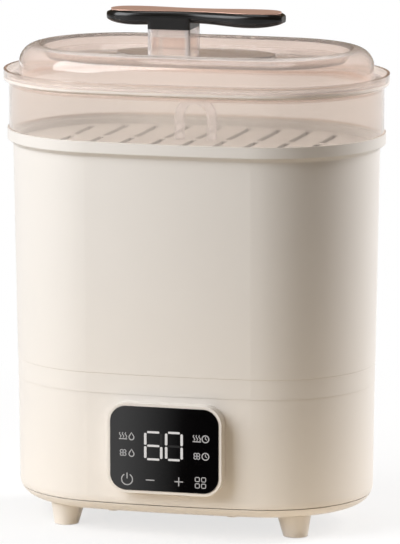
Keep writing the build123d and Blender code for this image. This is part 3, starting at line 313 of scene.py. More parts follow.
def flat_shape(shapes, material, name, body="base", thickness=0.00014):
    """A thin piece on the glass from shapes in (x, z), each a list of faces' corners."""
    shape = bmesh.new()
    for faces in shapes:
        for corners in faces:
            shape.faces.new([shape.verts.new((x, DIGIT_FACE_Y, z)) for x, z in corners])
    bmesh.ops.remove_doubles(shape, verts=shape.verts, dist=1e-7)
    bmesh.ops.recalc_face_normals(shape, faces=shape.faces)
    extruded = bmesh.ops.extrude_face_region(shape, geom=list(shape.faces))
    moved = [item for item in extruded["geom"] if isinstance(item, bmesh.types.BMVert)]
    bmesh.ops.translate(shape, verts=moved, vec=(0, thickness, 0))
    bmesh.ops.recalc_face_normals(shape, faces=shape.faces)
    mesh = bpy.data.meshes.new(name)
    shape.to_mesh(mesh)
    shape.free()
    mesh.materials.append(material)
    piece = bpy.data.objects.new(name, mesh)
    bpy.context.scene.collection.objects.link(piece)
    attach(piece, body)


def clipped(half, side, clip):
    """The corners of a flat box about its middle, with each corner clipped off."""
    return [(-half, -side + clip), (-half + clip, -side), (half - clip, -side),
            (half, -side + clip), (half, side - clip), (half - clip, side),
            (-half + clip, side), (-half, side - clip)]


def segment(x, z, length, width, upright):
    """One bar of a digit: straight sides and clipped ends."""
    corners = clipped(length / 2, width / 2, width / 4)
    return [[(x + b, z + a) if upright else (x + a, z + b) for a, b in corners]]


def digit_bars(x, low, high, width, lit):
    """The lit bars of one digit, from its middle, its two heights and its width."""
    middle, half = (low + high) / 2, (high - low) / 2
    inset = SEGMENT_WIDTH / 2
    reach = width / 2 - inset
    tall = half - BAR_GAP - inset
    upper, lower = middle + half / 2 - inset / 2, middle - half / 2 + inset / 2
    flat = width - 2 * SEGMENT_WIDTH - CORNER_GAP
    bars = {
        "top": segment(x, high - LEVEL_WIDTH / 2, flat, LEVEL_WIDTH, False),
        "middle": segment(x, middle, flat, LEVEL_WIDTH, False),
        "bottom": segment(x, low + LEVEL_WIDTH / 2, flat, LEVEL_WIDTH, False),
        "upper_left": segment(x - reach, upper, tall, SEGMENT_WIDTH, True),
        "upper_right": segment(x + reach, upper, tall, SEGMENT_WIDTH, True),
        "lower_left": segment(x - reach, lower, tall, SEGMENT_WIDTH, True),
        "lower_right": segment(x + reach, lower, tall, SEGMENT_WIDTH, True),
    }
    return [bars[name] for name in lit]


ALL_ROUND = ("top", "upper_left", "lower_left", "bottom", "lower_right")
six = digit_bars(*SIX_PLACE, ALL_ROUND + ("middle",))
zero = digit_bars(*ZERO_PLACE, ALL_ROUND + ("upper_right",))
flat_shape(six + zero, lit_white, "display_digits")
off = digit_bars(*SIX_PLACE, ("upper_right",))
off += digit_bars(*ZERO_PLACE, ("middle",))
flat_shape(off, unlit, "display_unlit_bars", thickness=0.0001)

# Marks of the panel
# Plain pictures and key signs, also lit from behind: steam, drop, fan and clock beside the
# digits, and power, minus, plus and four squares on the touch keys.
LINE, THIN_LINE = 0.0008, 0.00064
POWER_X, POWER_Z = -0.0286, 0.0468
MINUS_X, MINUS_Z = -0.0108, 0.0470
PLUS_X, PLUS_Z, PLUS_GAP = 0.0113, 0.0469, 0.00045
SIGN_REACH = 0.0033
SQUARES_X, SQUARES_Z, SQUARES_REACH = 0.0280, 0.0470, 0.0024


def line_strip(points, width, closed=False):
    """A strip of even width along points, as quads with mitred corners."""
    count = len(points)
    rails = []
    for index, (x, z) in enumerate(points):
        before = points[index - 1] if closed or index else points[0]
        after = points[(index + 1) % count] if closed or index < count - 1 else points[-1]
        along = Vector((after[0] - before[0], after[1] - before[1])).normalized()
        side = Vector((-along.y, along.x)) * width / 2
        rails.append(((x + side.x, z + side.y), (x - side.x, z - side.y)))
    onward = rails[1:] + (rails[:1] if closed else [])
    return [[a[0], a[1], b[1], b[0]] for a, b in zip(rails, onward)]


def arc(x, z, radius, start, end, steps=28):
    """Points along an arc, its angles in degrees."""
    turns = [radians(start + (end - start) * i / steps) for i in range(steps + 1)]
    return [(x + radius * cos(t), z + radius * sin(t)) for t in turns]


def circle(x, z, radius):
    """Points round a circle, 15 degrees apart."""
    return arc(x, z, radius, 0, 345, 23)


def disc(x, z, radius):
    """A small filled disc."""
    return [circle(x, z, radius)]


def ring(x, z, radius, width=LINE):
    """A closed ring."""
    return line_strip(circle(x, z, radius), width, closed=True)


def wave(x, z, height):
    """An upright wavy line."""
    shares = [i / 12 for i in range(13)]
    points = [(x + 0.0006 * sin(2 * pi * s), z + height * (s - 0.5)) for s in shares]
    return line_strip(points, THIN_LINE)


def steam_mark(x, z):
    """Three wavy lines over a short bar."""
    waves = [wave(x + shift, z + 0.0006, 0.0040) for shift in (-0.0022, 0, 0.0022)]
    return waves + [line_strip([(x - 0.0032, z - 0.0023), (x + 0.0032, z - 0.0023)], LINE)]


def drop_mark(x, z):
    """A drop: round below, drawn to a point above."""
    points = [(x, z + 0.0028)] + arc(x, z - 0.0007, 0.0019, 150, 390, 20)
    return [line_strip(points, LINE, closed=True)]


def fan_mark(x, z):
    """Four petals round a dot."""
    petals = []
    for quarter in range(4):
        turn = radians(90 * quarter + 45)
        petals.append(ring(x + 0.0016 * cos(turn), z + 0.0016 * sin(turn), 0.0011, THIN_LINE))
    return petals + [disc(x, z, 0.0005)]


def clock_mark(x, z):
    """A ring with two hands."""
    hands = line_strip([(x, z + 0.0016), (x, z), (x + 0.0012, z - 0.0006)], THIN_LINE)
    return [ring(x, z, 0.0026), hands]


marks = steam_mark(-0.0316, 0.0797) + drop_mark(-0.0251, 0.0795)
marks += fan_mark(-0.0316, 0.0669) + drop_mark(-0.0251, 0.0669)
marks += steam_mark(0.0252, 0.0803) + clock_mark(0.0318, 0.0802)
marks += fan_mark(0.0252, 0.0670) + clock_mark(0.0318, 0.0670)
strokes = [arc(POWER_X, POWER_Z, 0.0042, 120, 420),
           [(POWER_X, POWER_Z + 0.0050), (POWER_X, POWER_Z + 0.0006)],
           [(MINUS_X - SIGN_REACH, MINUS_Z), (MINUS_X + SIGN_REACH, MINUS_Z)],
           [(PLUS_X - SIGN_REACH, PLUS_Z), (PLUS_X + SIGN_REACH, PLUS_Z)],
           [(PLUS_X, PLUS_Z + SIGN_REACH), (PLUS_X, PLUS_Z + PLUS_GAP)],
           [(PLUS_X, PLUS_Z - PLUS_GAP), (PLUS_X, PLUS_Z - SIGN_REACH)]]
marks += [line_strip(points, LINE) for points in strokes]
for across in (-SQUARES_REACH, SQUARES_REACH):
    for up in (-SQUARES_REACH, SQUARES_REACH):
        square = [(SQUARES_X + across + a, SQUARES_Z + up + b)
                  for a, b in clipped(0.0016, 0.0016, 0.0005)]
        marks += [line_strip(square, THIN_LINE, closed=True)]
flat_shape(marks, lit_soft, "panel_marks")

# Boards, display module and touch springs
# Green lacquered glass-fibre boards with copper tracks, black parts soldered on, a white
# diffuser block behind the digits and plated springs under the keys.
lacquer, tree, board, place = surface_of("board_lacquer")
tracks = add_node(tree, "TexBrick", Color1=(0.02, 0.16, 0.07, 1), Color2=(0.03, 0.20, 0.09, 1),
                  Mortar=(0.10, 0.34, 0.12, 1), Scale=220.0, Mortar_Size=0.03)
tree.links.new(place, tracks.inputs["Vector"])
tree.links.new(tracks.outputs["Color"], board.inputs["Base Color"])
tree.links.new(spread(tree, noise(tree, place, 200), 0.2, 0.35), board.inputs["Roughness"])
tree.links.new(raised(tree, tracks.outputs["Fac"], 0.00004), board.inputs["Normal"])
dress(lacquer, "control_board", "power_board")
component_black = moulded("component_black", (0.030, 0.030, 0.032), (0.045, 0.045, 0.048),
                          0.40, 0.60)
dress(component_black, "board_components", "mains_inlet")
diffuser = moulded("white_diffuser", (0.85, 0.85, 0.86), (0.80, 0.80, 0.82), 0.45, 0.55)
dress(diffuser, "display_module")


def worked_metal(name, colour, shade, smooth, rough, stretch, scale=700, depth=0.00001):
    """Metal with fine lines drawn along one direction, given by how the noise is stretched."""
    material, tree, metal, place = surface_of(name)
    metal.inputs["Metallic"].default_value = 1
    drawn = add_node(tree, "Mapping", Scale=stretch)
    tree.links.new(place, drawn.inputs["Vector"])
    lines = noise(tree, drawn.outputs["Vector"], scale, 4, 0.6)
    tree.links.new(tint(tree, lines, colour, shade), metal.inputs["Base Color"])
    tree.links.new(spread(tree, lines, smooth, rough), metal.inputs["Roughness"])
    normal = raised(tree, lines, depth, rounded_edges(tree, 0.0003))
    tree.links.new(normal, metal.inputs["Normal"])
    return material


spring_bronze = worked_metal("spring_bronze", (0.72, 0.56, 0.30), (0.62, 0.46, 0.24),
                             0.25, 0.40, (1, 8, 1))
dress(spring_bronze, "touch_springs", "inlet_pins")

# Deck and fan duct
# Heat-resistant off-white mouldings: the flat deck with its bosses, the duct with
# its motor cup and spout, and the slotted cap that keeps drips out of the spout.
inner_plastic = moulded("inner_plastic", (0.76, 0.73, 0.67), (0.72, 0.69, 0.63), 0.40, 0.55)
dress(inner_plastic, "base_deck", "deck_bosses", "fan_duct", "outlet_cap")

# Heating plate and what is under it
# Spun stainless dish on a silicone seal, a cast aluminium spreader with a sheathed element
# pressed against it, a thermostat and a fuse.
PLATE_X = -0.038
plate_steel, tree, metal, place = surface_of("spun_plate_steel")
centred = add_node(tree, "Mapping", Location=(-PLATE_X, 0, 0))
tree.links.new(place, centred.inputs["Vector"])
rings = tree.nodes.new("ShaderNodeTexWave")
rings.wave_type = "RINGS"
rings.rings_direction = "Z"
rings.inputs["Scale"].default_value = 420
rings.inputs["Distortion"].default_value = 1.5
rings.inputs["Detail"].default_value = 3
tree.links.new(centred.outputs["Vector"], rings.inputs["Vector"])
metal.inputs["Metallic"].default_value = 1
scale_marks = noise(tree, place, 90, 6, 0.65)
limescale = tint(tree, scale_marks, (0.66, 0.66, 0.66), (0.52, 0.51, 0.50))
tree.links.new(limescale, metal.inputs["Base Color"])
tree.links.new(spread(tree, rings.outputs["Fac"], 0.20, 0.34), metal.inputs["Roughness"])
tree.links.new(raised(tree, rings.outputs["Fac"], 0.00001), metal.inputs["Normal"])
dress(plate_steel, "heating_plate")
silicone = moulded("grey_silicone", (0.55, 0.55, 0.53), (0.50, 0.50, 0.48), 0.55, 0.70, 0.00003)
dress(silicone, "plate_seal")
cast_aluminium = worked_metal("cast_aluminium", (0.60, 0.61, 0.62), (0.50, 0.51, 0.52), 0.42, 0.60,
                              (1, 1, 1), 500, 0.00008)
dress(cast_aluminium, "heat_spreader")
heater_fins = worked_metal("heater_fins", (0.64, 0.65, 0.66), (0.56, 0.57, 0.58),
                           0.25, 0.42, (1, 1, 9))
dress(heater_fins, "ptc_heater")
element_sheath = worked_metal("element_sheath", (0.33, 0.32, 0.31), (0.24, 0.22, 0.21),
                              0.35, 0.55, (1, 1, 6))
dress(element_sheath, "heating_element")
fitting_metal = worked_metal("stamped_fitting", (0.62, 0.62, 0.62), (0.54, 0.54, 0.53),
                             0.25, 0.38, (6, 1, 1))
dress(fitting_metal, "thermostat")
ceramic = moulded("fuse_ceramic", (0.74, 0.70, 0.62), (0.68, 0.64, 0.56), 0.50, 0.65)
dress(ceramic, "thermal_fuse")

# Drying fan and its filter
# Dark nylon impeller pressed on a steel shaft, a plated motor can, and the round cream
# grille that twists out below with its pad of white filter cloth.
motor_steel = worked_metal("motor_steel", (0.56, 0.57, 0.58), (0.48, 0.48, 0.49),
                           0.22, 0.34, (1, 1, 8))
dress(motor_steel, "fan_motor", "motor_shaft")
impeller_nylon = moulded("impeller_nylon", (0.06, 0.06, 0.065), (0.085, 0.085, 0.09), 0.35, 0.50)
dress(impeller_nylon, "fan_impeller")
dress(cream, "filter_cover")
filter_cloth, tree, cloth, place = surface_of("filter_cloth")
threads = tree.nodes.new("ShaderNodeTexVoronoi")
threads.inputs["Scale"].default_value = 1200
tree.links.new(place, threads.inputs["Vector"])
tree.links.new(tint(tree, noise(tree, place, 700, 6, 0.7), (0.84, 0.84, 0.82), (0.72, 0.72, 0.70)),
               cloth.inputs["Base Color"])
tree.links.new(raised(tree, threads.outputs["Distance"], 0.0004), cloth.inputs["Normal"])
cloth.inputs["Roughness"].default_value = 0.95
cloth.inputs["Sheen Weight"].default_value = 0.3
dress(filter_cloth, "air_filter")

# Bottle rack
# Slotted off-white polypropylene plate that rests on the housing's lip and lifts out. Six
# cross-shaped pegs are pressed into it.
rack_plastic = moulded("rack_plastic", (0.78, 0.76, 0.71), (0.75, 0.72, 0.67), 0.35, 0.45)
dress(rack_plastic, "rack_plate", "rack_pegs")

# Chamber
# Tall cream polypropylene wall with its thick rim, injection moulded in one piece. It is set
# over the housing's lip and stays there by its own weight.
dress(cream, "chamber_shell")

# Upper tray
# Ring and slotted floor in a greyer, slightly cloudy polypropylene. The ring hangs by its
# flange inside the chamber's rim, and the floor is laid on the ring's ledge.
tray_plastic = moulded("tray_plastic", (0.50, 0.495, 0.475), (0.48, 0.475, 0.455), 0.30, 0.42)
dress(tray_plastic, "upper_tray", "tray_grille")

# Clear pieces
# Lifting loop, collar and lid in clear copolyester, injection moulded, with a faint warm tint
# that deepens with the collar's thickness. Thick rims look milky.
CLEAR_TINT = (0.888, 0.808, 0.762)
COLLAR_TINT = (0.90, 0.848, 0.80)
RIM_CLOUD_LOW, RIM_CLOUD_HIGH = 0.3339, 0.3377


def clear_plastic_of(name, colour, through, clarity, milky=None, absorbed=None):
    """Slightly cloudy clear plastic that lets lamps through, with faint flow lines.

    milky gives two heights and the lower clarity between them. absorbed tints it by its depth.
    """
    material, tree, plastic, place = surface_of(name)
    plastic.inputs["Base Color"].default_value = (*colour, 1)
    plastic.inputs["Transmission Weight"].default_value = clarity
    plastic.inputs["IOR"].default_value = 1.46
    if milky:
        low, high, cloudy = milky
        clearness = spread(tree, height_band(tree, place, low, high), clarity, cloudy)
        tree.links.new(clearness, plastic.inputs["Transmission Weight"])
    plastic.inputs["Specular IOR Level"].default_value = 0.3
    tree.links.new(spread(tree, noise(tree, place, 40), 0.05, 0.09), plastic.inputs["Roughness"])
    flow = raised(tree, noise(tree, place, 55, 2), 0.00006)
    tree.links.new(flow, plastic.inputs["Normal"])
    shadow = add_node(tree, "BsdfTransparent", Color=(*through, 1))
    path = tree.nodes.new("ShaderNodeLightPath")
    mix = tree.nodes.new("ShaderNodeMixShader")
    tree.links.new(path.outputs["Is Shadow Ray"], mix.inputs["Fac"])
    tree.links.new(plastic.outputs["BSDF"], mix.inputs[1])
    tree.links.new(shadow.outputs["BSDF"], mix.inputs[2])
    output = tree.nodes["Material Output"]
    tree.links.new(mix.outputs["Shader"], output.inputs["Surface"])
    if absorbed:
        depth = add_node(tree, "VolumeAbsorption", Color=(*absorbed, 1), Density=100.0)
        tree.links.new(depth.outputs["Volume"], output.inputs["Volume"])
    return material


END_RADIUS, END_CENTRE = 0.084, 0.056
SIDE_RADIUS, SIDE_CENTRE = 0.712445, 0.625945
END_TURN = atan2(SIDE_CENTRE, END_CENTRE)
END_STEPS, SIDE_STEPS = 96, 24


def oval_row(offset, z):
    """Points all round the oval, moved out by offset, at one height."""
    row = []
    for side, x, y in ((0, END_CENTRE, -SIDE_CENTRE), (pi, -END_CENTRE, SIDE_CENTRE)):
        turns = [side + END_TURN * (2 * i / END_STEPS - 1) for i in range(END_STEPS)]
        radius = END_RADIUS + offset
        row += [(x + radius * cos(t), radius * sin(t), z) for t in turns]
        turns = [side + END_TURN + (pi - 2 * END_TURN) * i / SIDE_STEPS for i in range(SIDE_STEPS)]
        radius = SIDE_RADIUS + offset
        row += [(radius * cos(t), y + radius * sin(t), z) for t in turns]
    return row


def ellipse_row(half_length, half_depth, z, outer):
    """Points on an ellipse, each straight inside a point of the outer row."""
    row = []
    for x, y, _ in outer:
        near = 1 / sqrt((x / half_length) ** 2 + (y / half_depth) ** 2)
        row.append((x * near, y * near, z))
    return row


def rounded_path(points, radii):
    """A section's path in (offset, height), with each corner turned in small steps."""
    path = []
    for index, (point, radius) in enumerate(zip(points, radii)):
        corner = Vector(point)
        if not radius:
            path.append(tuple(corner))
            continue
        back = (Vector(points[index - 1]) - corner).normalized()
        on = (Vector(points[(index + 1) % len(points)]) - corner).normalized()
        half = back.angle(on) / 2
        centre = corner + (back + on).normalized() * radius / sin(half)
        first = corner + back * radius / tan(half) - centre
        last = corner + on * radius / tan(half) - centre
        turn = first.angle_signed(last)
        steps = ceil(abs(turn) / radians(6))
        for step in range(steps + 1):
            a = -turn * step / steps
            path.append((centre.x + first.x * cos(a) - first.y * sin(a),
                         centre.y + first.x * sin(a) + first.y * cos(a)))
    return path


def skin(rows, closed):
    """A mesh over rows of points: a closed ring of rows, or capped at both ends."""
    shape = bmesh.new()
    nets = [[shape.verts.new(point) for point in row] for row in rows]
    onward = nets[1:] + (nets[:1] if closed else [])
    count = len(nets[0])
    for a, b in zip(nets, onward):
        for i in range(count):
            j = (i + 1) % count
            shape.faces.new((a[i], a[j], b[j], b[i]))
    if not closed:
        shape.faces.new(nets[0])
        shape.faces.new(nets[-1])
    bmesh.ops.recalc_face_normals(shape, faces=shape.faces)
    return shape


def solid_object(name, shape):
    """A plain object from a bmesh."""
    mesh = bpy.data.meshes.new(name)
    shape.to_mesh(mesh)
    shape.free()
    made = bpy.data.objects.new(name, mesh)
    bpy.context.scene.collection.objects.link(made)
    return made


def one_moulding(whole, body, nodes, thin, thick, low, high, join=(), cut=()):
    """Finishes one moulding: joins, cuts, and its thick look between two heights."""
    name = whole.name
    for tools, operation in ((join, "UNION"), (cut, "DIFFERENCE")):
        for tool in tools:
            modifier = whole.modifiers.new("join", "BOOLEAN")
            modifier.operation = operation
            modifier.solver = "EXACT"
            modifier.object = tool
    bpy.context.view_layer.update()
    evaluated = whole.evaluated_get(bpy.context.evaluated_depsgraph_get())
    mesh = bpy.data.meshes.new_from_object(evaluated)
    mesh.transform(whole.matrix_world)
    for used in (whole, *join, *cut):
        bpy.data.objects.remove(used)
    mesh.materials.clear()
    mesh.materials.append(thin)
    mesh.materials.append(thick)
    for face in mesh.polygons:
        face.material_index = 1 if low < face.center.z < high else 0
    mesh.shade_smooth()
    mesh.set_sharp_from_angle(angle=radians(28))
    piece = bpy.data.objects.new(name, mesh)
    bpy.context.scene.collection.objects.link(piece)
    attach(piece, body)
    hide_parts(*nodes)
    return piece


lid_clear = clear_plastic_of("clear_lid_plastic", CLEAR_TINT, (0.93, 0.89, 0.86), 0.90)
collar_clear = clear_plastic_of("clear_collar_plastic", COLLAR_TINT, (0.95, 0.94, 0.93), 0.90,
                                milky=(RIM_CLOUD_LOW, RIM_CLOUD_HIGH, 0.18),
                                absorbed=(0.72, 0.62, 0.58))
milky_rim = clear_plastic_of("milky_rim_plastic", (0.90, 0.88, 0.88), (0.86, 0.84, 0.83), 0.60)
loop_clear = clear_plastic_of("clear_loop_plastic", (0.88, 0.865, 0.87), (0.90, 0.88, 0.87), 0.75)
dress(loop_clear, "tray_lift_loop")

# Clear collar
# Plain wall, flared outwards under a thick rim that has a ledge inside for the lid. It is one
# moulding of the clear copolyester and stands loose on the tray's flange.
FLANGE_TOP, COLLAR_TOP, LEDGE = 0.2965, 0.3435, 0.3375
COLLAR_OUTER, COLLAR_INNER, RIM_OUTER, RIM_INNER = 0.0030, 0.0008, 0.0070, 0.0048
FLARE_LOW, FLARE_HIGH = 0.3339, 0.3355
collar_path = rounded_path(
    [(COLLAR_INNER, FLANGE_TOP), (COLLAR_OUTER, FLANGE_TOP), (COLLAR_OUTER, FLARE_LOW),
     (RIM_OUTER, FLARE_HIGH), (RIM_OUTER, COLLAR_TOP), (RIM_INNER, COLLAR_TOP),
     (RIM_INNER, LEDGE), (COLLAR_INNER, LEDGE)],
    [0.0003, 0.0003, 0.0020, 0.0010, 0.0004, 0.0004, 0.0003, 0.0003],
)
collar_rows = [oval_row(offset, z) for offset, z in collar_path]
one_moulding(solid_object("collar_moulding", skin(collar_rows, True)), "collar",
             ["clear_collar"], collar_clear, collar_clear, 0, 0)

# Clear lid
# One moulding: skirt, brim, domed shoulder, crown, sunk top with its oval island, and the
# square post. Five steam vents go through its wall at the rear.
LID_WALL, LID_TOP, DISH_TOP, ISLAND_TOP, POST_TOP = 0.0022, 0.3620, 0.3545, 0.3565, 0.3750
BRIM_TOP, SKIRT_FOOT = LEDGE + LID_WALL, LEDGE - 0.0065
BRIM_EDGE, SKIRT_EDGE, SHOULDER_FOOT, SHOULDER_TOP = 0.0045, 0.0005, -0.0045, -0.0052
CROWN_EDGE, DISH_EDGE, DISH_SEAM, CROWN_INSET = -0.0210, -0.0260, -0.0282, 0.0011
CROWN_UNDER, DISH_UNDER = LID_TOP - LID_WALL, DISH_TOP - LID_WALL
BRIM_LOW, BRIM_HIGH = 0.3376, 0.3398
lid_path = rounded_path(
    [(DISH_SEAM, DISH_TOP), (DISH_EDGE, DISH_TOP), (CROWN_EDGE, LID_TOP), (SHOULDER_TOP, LID_TOP),
     (SHOULDER_FOOT, BRIM_TOP), (BRIM_EDGE, BRIM_TOP), (BRIM_EDGE, LEDGE), (SKIRT_EDGE, LEDGE),
     (SKIRT_EDGE, SKIRT_FOOT), (SKIRT_EDGE - LID_WALL, SKIRT_FOOT),
     (SKIRT_EDGE - LID_WALL, LEDGE), (SHOULDER_FOOT - LID_WALL, LEDGE),
     (SHOULDER_TOP - LID_WALL, CROWN_UNDER), (CROWN_EDGE - CROWN_INSET, CROWN_UNDER),
     (DISH_EDGE - CROWN_INSET, DISH_UNDER), (DISH_SEAM, DISH_UNDER)],
    [0, 0.0016, 0.0020, 0.0140, 0.0010, 0.0006, 0.0004, 0.0003, 0.0004, 0.0004, 0.0003, 0.0008,
     0.0118, 0.0014, 0.0008, 0],
)
ISLAND_HALF, ISLAND_FOOT_HALF = (0.0608, 0.0308), (0.0620, 0.0320)
ISLAND_UNDER_HALF, CAP_HALF = (0.060, 0.030), (0.010, 0.008)
edge_row = oval_row(DISH_SEAM, DISH_TOP)
lid_rows = [ellipse_row(*CAP_HALF, ISLAND_TOP, edge_row),
            ellipse_row(*ISLAND_HALF, ISLAND_TOP, edge_row),
            ellipse_row(*ISLAND_FOOT_HALF, DISH_TOP, edge_row)]
lid_rows += [oval_row(offset, z) for offset, z in lid_path]
lid_rows += [ellipse_row(*ISLAND_UNDER_HALF, DISH_UNDER, edge_row),
             ellipse_row(*CAP_HALF, DISH_UNDER, edge_row)]


def square_row(x, half, corner, z, steps=8):
    """A rounded square's outline at one height."""
    row = []
    for quarter in range(4):
        turn = quarter * pi / 2
        reach = half - corner
        centre = (reach * (cos(turn) - sin(turn)), reach * (sin(turn) + cos(turn)))
        for step in range(steps + 1):
            a = turn + pi / 2 * step / steps
            row.append((x + centre[0] + corner * cos(a), centre[1] + corner * sin(a), z))
    return row


POST_X, POST_HALF, POST_CORNER, POST_INNER_CORNER = -0.0174, 0.0165, 0.003, 0.0019
POST_FOOT, POST_SHOWS = ISLAND_TOP - 0.001, LID_TOP + 0.001
post_rows = [square_row(POST_X, POST_HALF, POST_CORNER, POST_FOOT),
             square_row(POST_X, POST_HALF, POST_CORNER, POST_TOP),
             square_row(POST_X, POST_HALF - LID_WALL, POST_INNER_CORNER, POST_TOP),
             square_row(POST_X, POST_HALF - LID_WALL, POST_INNER_CORNER, POST_FOOT)]
lid_post = solid_object("lid_post_shape", skin(post_rows, True))
VENT_SIZE, VENT_PITCH, VENT_Y, VENT_Z = (0.004, 0.028, 0.006), 0.012, 0.0865, 0.3457
vents = []
for step in range(-2, 3):
    vent = bmesh.new()
    bmesh.ops.create_cube(vent, size=1)
    bmesh.ops.scale(vent, vec=VENT_SIZE, verts=vent.verts)
    bmesh.ops.translate(vent, vec=(step * VENT_PITCH, VENT_Y, VENT_Z), verts=vent.verts)
    vents.append(solid_object("vent_shape", vent))
lid = one_moulding(solid_object("lid_moulding", skin(lid_rows, False)), "lid",
                   ["lid_dome", "lid_crown", "lid_top", "lid_post"], lid_clear, milky_rim,
                   BRIM_LOW, BRIM_HIGH, [lid_post], vents)
lid.data.materials.append(loop_clear)
for face in lid.data.polygons:
    if face.center.z > POST_SHOWS:
        face.material_index = 2

# Handle
# Glossy black grip on a clear stub in the lid's square post, with a satin rose-gold plate of
# anodised aluminium glued into its top.
handle_black = moulded("handle_black", (0.006, 0.006, 0.0065), (0.009, 0.009, 0.0095),
                       0.16, 0.26, 0.000004)
STUB_LOW = 0.3600
grip = bpy.data.objects.new("grip_moulding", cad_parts["handle_grip"].data.copy())
bpy.context.scene.collection.objects.link(grip)
grip.matrix_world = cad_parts["handle_grip"].matrix_world
one_moulding(grip, "lid", ["handle_grip"], handle_black, loop_clear,
             STUB_LOW, POST_TOP - 0.0001)
rose_gold = worked_metal("rose_gold_anodised", (0.80, 0.52, 0.42), (0.74, 0.47, 0.38),
                         0.34, 0.46, (1, 14, 1))
rose_gold.node_tree.nodes["Principled BSDF"].inputs["Metallic"].default_value = 0.5
dress(rose_gold, "handle_inlay")

# Floor
# Pale plain ground. The camera sees it white, but it keeps the object's shadow. It throws
# warm light back up at the object, more from close by than from far off.
FLOOR_SIZE = 6.0


def sheet(name, size, place=(0, 0, 0)):
    """A flat square sheet on the ground, round a place."""
    shape = bmesh.new()
    bmesh.ops.create_grid(shape, x_segments=1, y_segments=1, size=size / 2)
    bmesh.ops.translate(shape, verts=shape.verts, vec=place)
    return solid_object(name, shape)


floor = sheet("floor", FLOOR_SIZE)
ground = bpy.data.materials.new("pale_ground")
ground.use_nodes = True
tree = ground.node_tree
tree.nodes.clear()


def seen_straight(tree, *kinds):
    """1 for camera rays and the named kinds before they meet a dull surface, 0 for the rest."""
    path = tree.nodes.new("ShaderNodeLightPath")
    total = path.outputs["Is Camera Ray"]
    for name in kinds:
        either = tree.nodes.new("ShaderNodeMath")
        either.operation = "MAXIMUM"
        tree.links.new(total, either.inputs[0])
        tree.links.new(path.outputs[name], either.inputs[1])
        total = either.outputs[0]
    first = tree.nodes.new("ShaderNodeMath")
    first.operation = "LESS_THAN"
    first.inputs[1].default_value = 0.5
    tree.links.new(path.outputs["Diffuse Depth"], first.inputs[0])
    both = tree.nodes.new("ShaderNodeMath")
    both.operation = "MULTIPLY"
    tree.links.new(total, both.inputs[0])
    tree.links.new(first.outputs[0], both.inputs[1])
    return both.outputs[0]


dull_near = add_node(tree, "BsdfDiffuse", Color=(0.88, 0.76, 0.60, 1))
dull_far = add_node(tree, "BsdfDiffuse", Color=(0.16, 0.14, 0.12, 1))
pale = add_node(tree, "BsdfDiffuse", Color=(0.92, 0.92, 0.92, 1))
white = add_node(tree, "Emission", Color=(1, 1, 1, 1), Strength=1.0)
far = add_node(tree, "VectorMath")
far.operation = "LENGTH"
tree.links.new(add_node(tree, "TexCoord").outputs["Object"], far.inputs[0])
whiter = add_node(tree, "MapRange", From_Min=0.15, From_Max=0.65, To_Min=0.72, To_Max=1.0)
tree.links.new(far.outputs["Value"], whiter.inputs["Value"])
duller = add_node(tree, "MapRange", From_Min=0.25, From_Max=0.45, To_Min=0.0, To_Max=1.0)
tree.links.new(far.outputs["Value"], duller.inputs["Value"])
dull = tree.nodes.new("ShaderNodeMixShader")
tree.links.new(duller.outputs["Result"], dull.inputs["Fac"])
tree.links.new(dull_near.outputs[0], dull.inputs[1])
tree.links.new(dull_far.outputs[0], dull.inputs[2])
pale_mix = tree.nodes.new("ShaderNodeMixShader")
tree.links.new(whiter.outputs["Result"], pale_mix.inputs["Fac"])
tree.links.new(pale.outputs[0], pale_mix.inputs[1])
tree.links.new(white.outputs[0], pale_mix.inputs[2])
ground_mix = tree.nodes.new("ShaderNodeMixShader")
seen = seen_straight(tree, "Is Glossy Ray", "Is Transmission Ray")
tree.links.new(seen, ground_mix.inputs["Fac"])
tree.links.new(dull.outputs[0], ground_mix.inputs[1])
tree.links.new(pale_mix.outputs[0], ground_mix.inputs[2])
ground_out = tree.nodes.new("ShaderNodeOutputMaterial")
tree.links.new(ground_mix.outputs[0], ground_out.inputs["Surface"])
floor.data.materials.append(ground)

# Studio
# White surroundings for the camera and for what shows through clear plastic, and a warm fill
# for all other light.
world = bpy.data.worlds.new("studio")
bpy.context.scene.world = world
world.use_nodes = True
tree = world.node_tree
tree.nodes.clear()
fill = add_node(tree, "Background", Color=(1.0, 0.66, 0.30, 1), Strength=0.11)
surround = add_node(tree, "Background", Color=(1, 1, 1, 1), Strength=1.0)
world_mix = tree.nodes.new("ShaderNodeMixShader")
tree.links.new(seen_straight(tree, "Is Transmission Ray"), world_mix.inputs["Fac"])
tree.links.new(fill.outputs[0], world_mix.inputs[1])
tree.links.new(surround.outputs[0], world_mix.inputs[2])
world_out = tree.nodes.new("ShaderNodeOutputWorld")
tree.links.new(world_mix.outputs[0], world_out.inputs["Surface"])

# Black flag
# A soft-edged black cloth on the ground in front, seen only in reflections, where the panel's
# glass turns dark to the right.
FLAG_SIZE, FLAG_PLACE = 0.9, (0.1, -0.66, 0.001)
flag = sheet("black_flag", FLAG_SIZE, FLAG_PLACE)
flag.visible_camera = False
flag.visible_diffuse = False
flag.visible_shadow = False
flag.visible_transmission = False
cloth = bpy.data.materials.new("black_cloth")
cloth.use_nodes = True
tree = cloth.node_tree
tree.nodes.clear()
across = add_node(tree, "VectorMath")
across.operation = "DOT_PRODUCT"
across.inputs[1].default_value = (1, -0.266, 0)
tree.links.new(add_node(tree, "TexCoord").outputs["Object"], across.inputs[0])
dark = add_node(tree, "MapRange", From_Min=-0.015, From_Max=0.037, To_Min=0.0, To_Max=1.0)
tree.links.new(across.outputs["Value"], dark.inputs["Value"])
clear = add_node(tree, "BsdfTransparent")
black = add_node(tree, "BsdfDiffuse", Color=(0.01, 0.01, 0.01, 1))
cloth_mix = tree.nodes.new("ShaderNodeMixShader")
tree.links.new(dark.outputs["Result"], cloth_mix.inputs["Fac"])
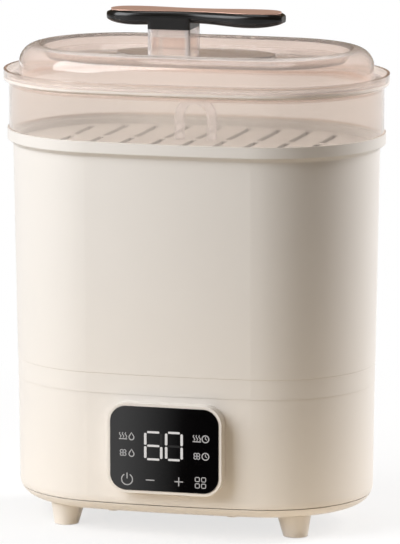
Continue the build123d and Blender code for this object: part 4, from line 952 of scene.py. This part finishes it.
tree.links.new(clear.outputs[0], cloth_mix.inputs[1])
tree.links.new(black.outputs[0], cloth_mix.inputs[2])
cloth_out = tree.nodes.new("ShaderNodeOutputMaterial")
tree.links.new(cloth_mix.outputs[0], cloth_out.inputs["Surface"])
flag.data.materials.append(cloth)

# Softboxes
# A large key softbox from the left front and a weak one overhead. A tall one from the right
# rear doesn't show in reflections or through clear plastic.
OBJECT_MIDDLE = Vector((0, 0, 0.2))


def softbox(name, azimuth, elevation, distance, width, height, power, colour=(1, 1, 1),
            mirrored=True):
    """An area lamp that faces the object's middle, its azimuth from the front.

    Unless it is mirrored, neither reflections nor clear plastic show it.
    """
    lamp = bpy.data.lights.new(name, "AREA")
    lamp.shape = "RECTANGLE"
    lamp.size, lamp.size_y = width, height
    lamp.energy = power
    lamp.color = colour
    holder = bpy.data.objects.new(name, lamp)
    a, e = radians(azimuth), radians(elevation)
    away = Vector((sin(a) * cos(e), -cos(a) * cos(e), sin(e)))
    holder.location = OBJECT_MIDDLE + away * distance
    holder.rotation_euler = away.to_track_quat("Z", "Y").to_euler()
    holder.visible_glossy = mirrored
    holder.visible_transmission = mirrored
    bpy.context.scene.collection.objects.link(holder)


softbox("key_softbox", -47, 30, 1.5, 1.2, 1.3, 29.6, (0.95, 0.975, 1.0))
softbox("rear_softbox", 122, 22, 1.5, 0.5, 1.3, 25, (0.97, 0.98, 1.0), mirrored=False)
softbox("top_softbox", 0, 88, 1.6, 0.9, 0.7, 5)

# Camera
# A long lens to the right of the front and a little above the object, far enough off that the
# object's upright lines stay nearly parallel.
CAMERA_DISTANCE, CAMERA_BASE = 3.9, Vector((0, 0, 0.150))
camera_data = bpy.data.cameras.new("camera")
camera_data.lens = 340.7
camera_data.clip_end = 50
camera = bpy.data.objects.new("camera", camera_data)
azimuth, elevation = radians(14.89), radians(10.2)
behind = Vector((sin(azimuth) * cos(elevation), -cos(azimuth) * cos(elevation), sin(elevation)))
camera.location = CAMERA_BASE + behind * CAMERA_DISTANCE
aim = Vector((0.0011, 0.0074, 0.1882))
camera.rotation_euler = (camera.location - aim).to_track_quat("Z", "Y").to_euler()
bpy.context.scene.collection.objects.link(camera)
bpy.context.scene.camera = camera
bpy.context.scene.view_settings.view_transform = "Standard"
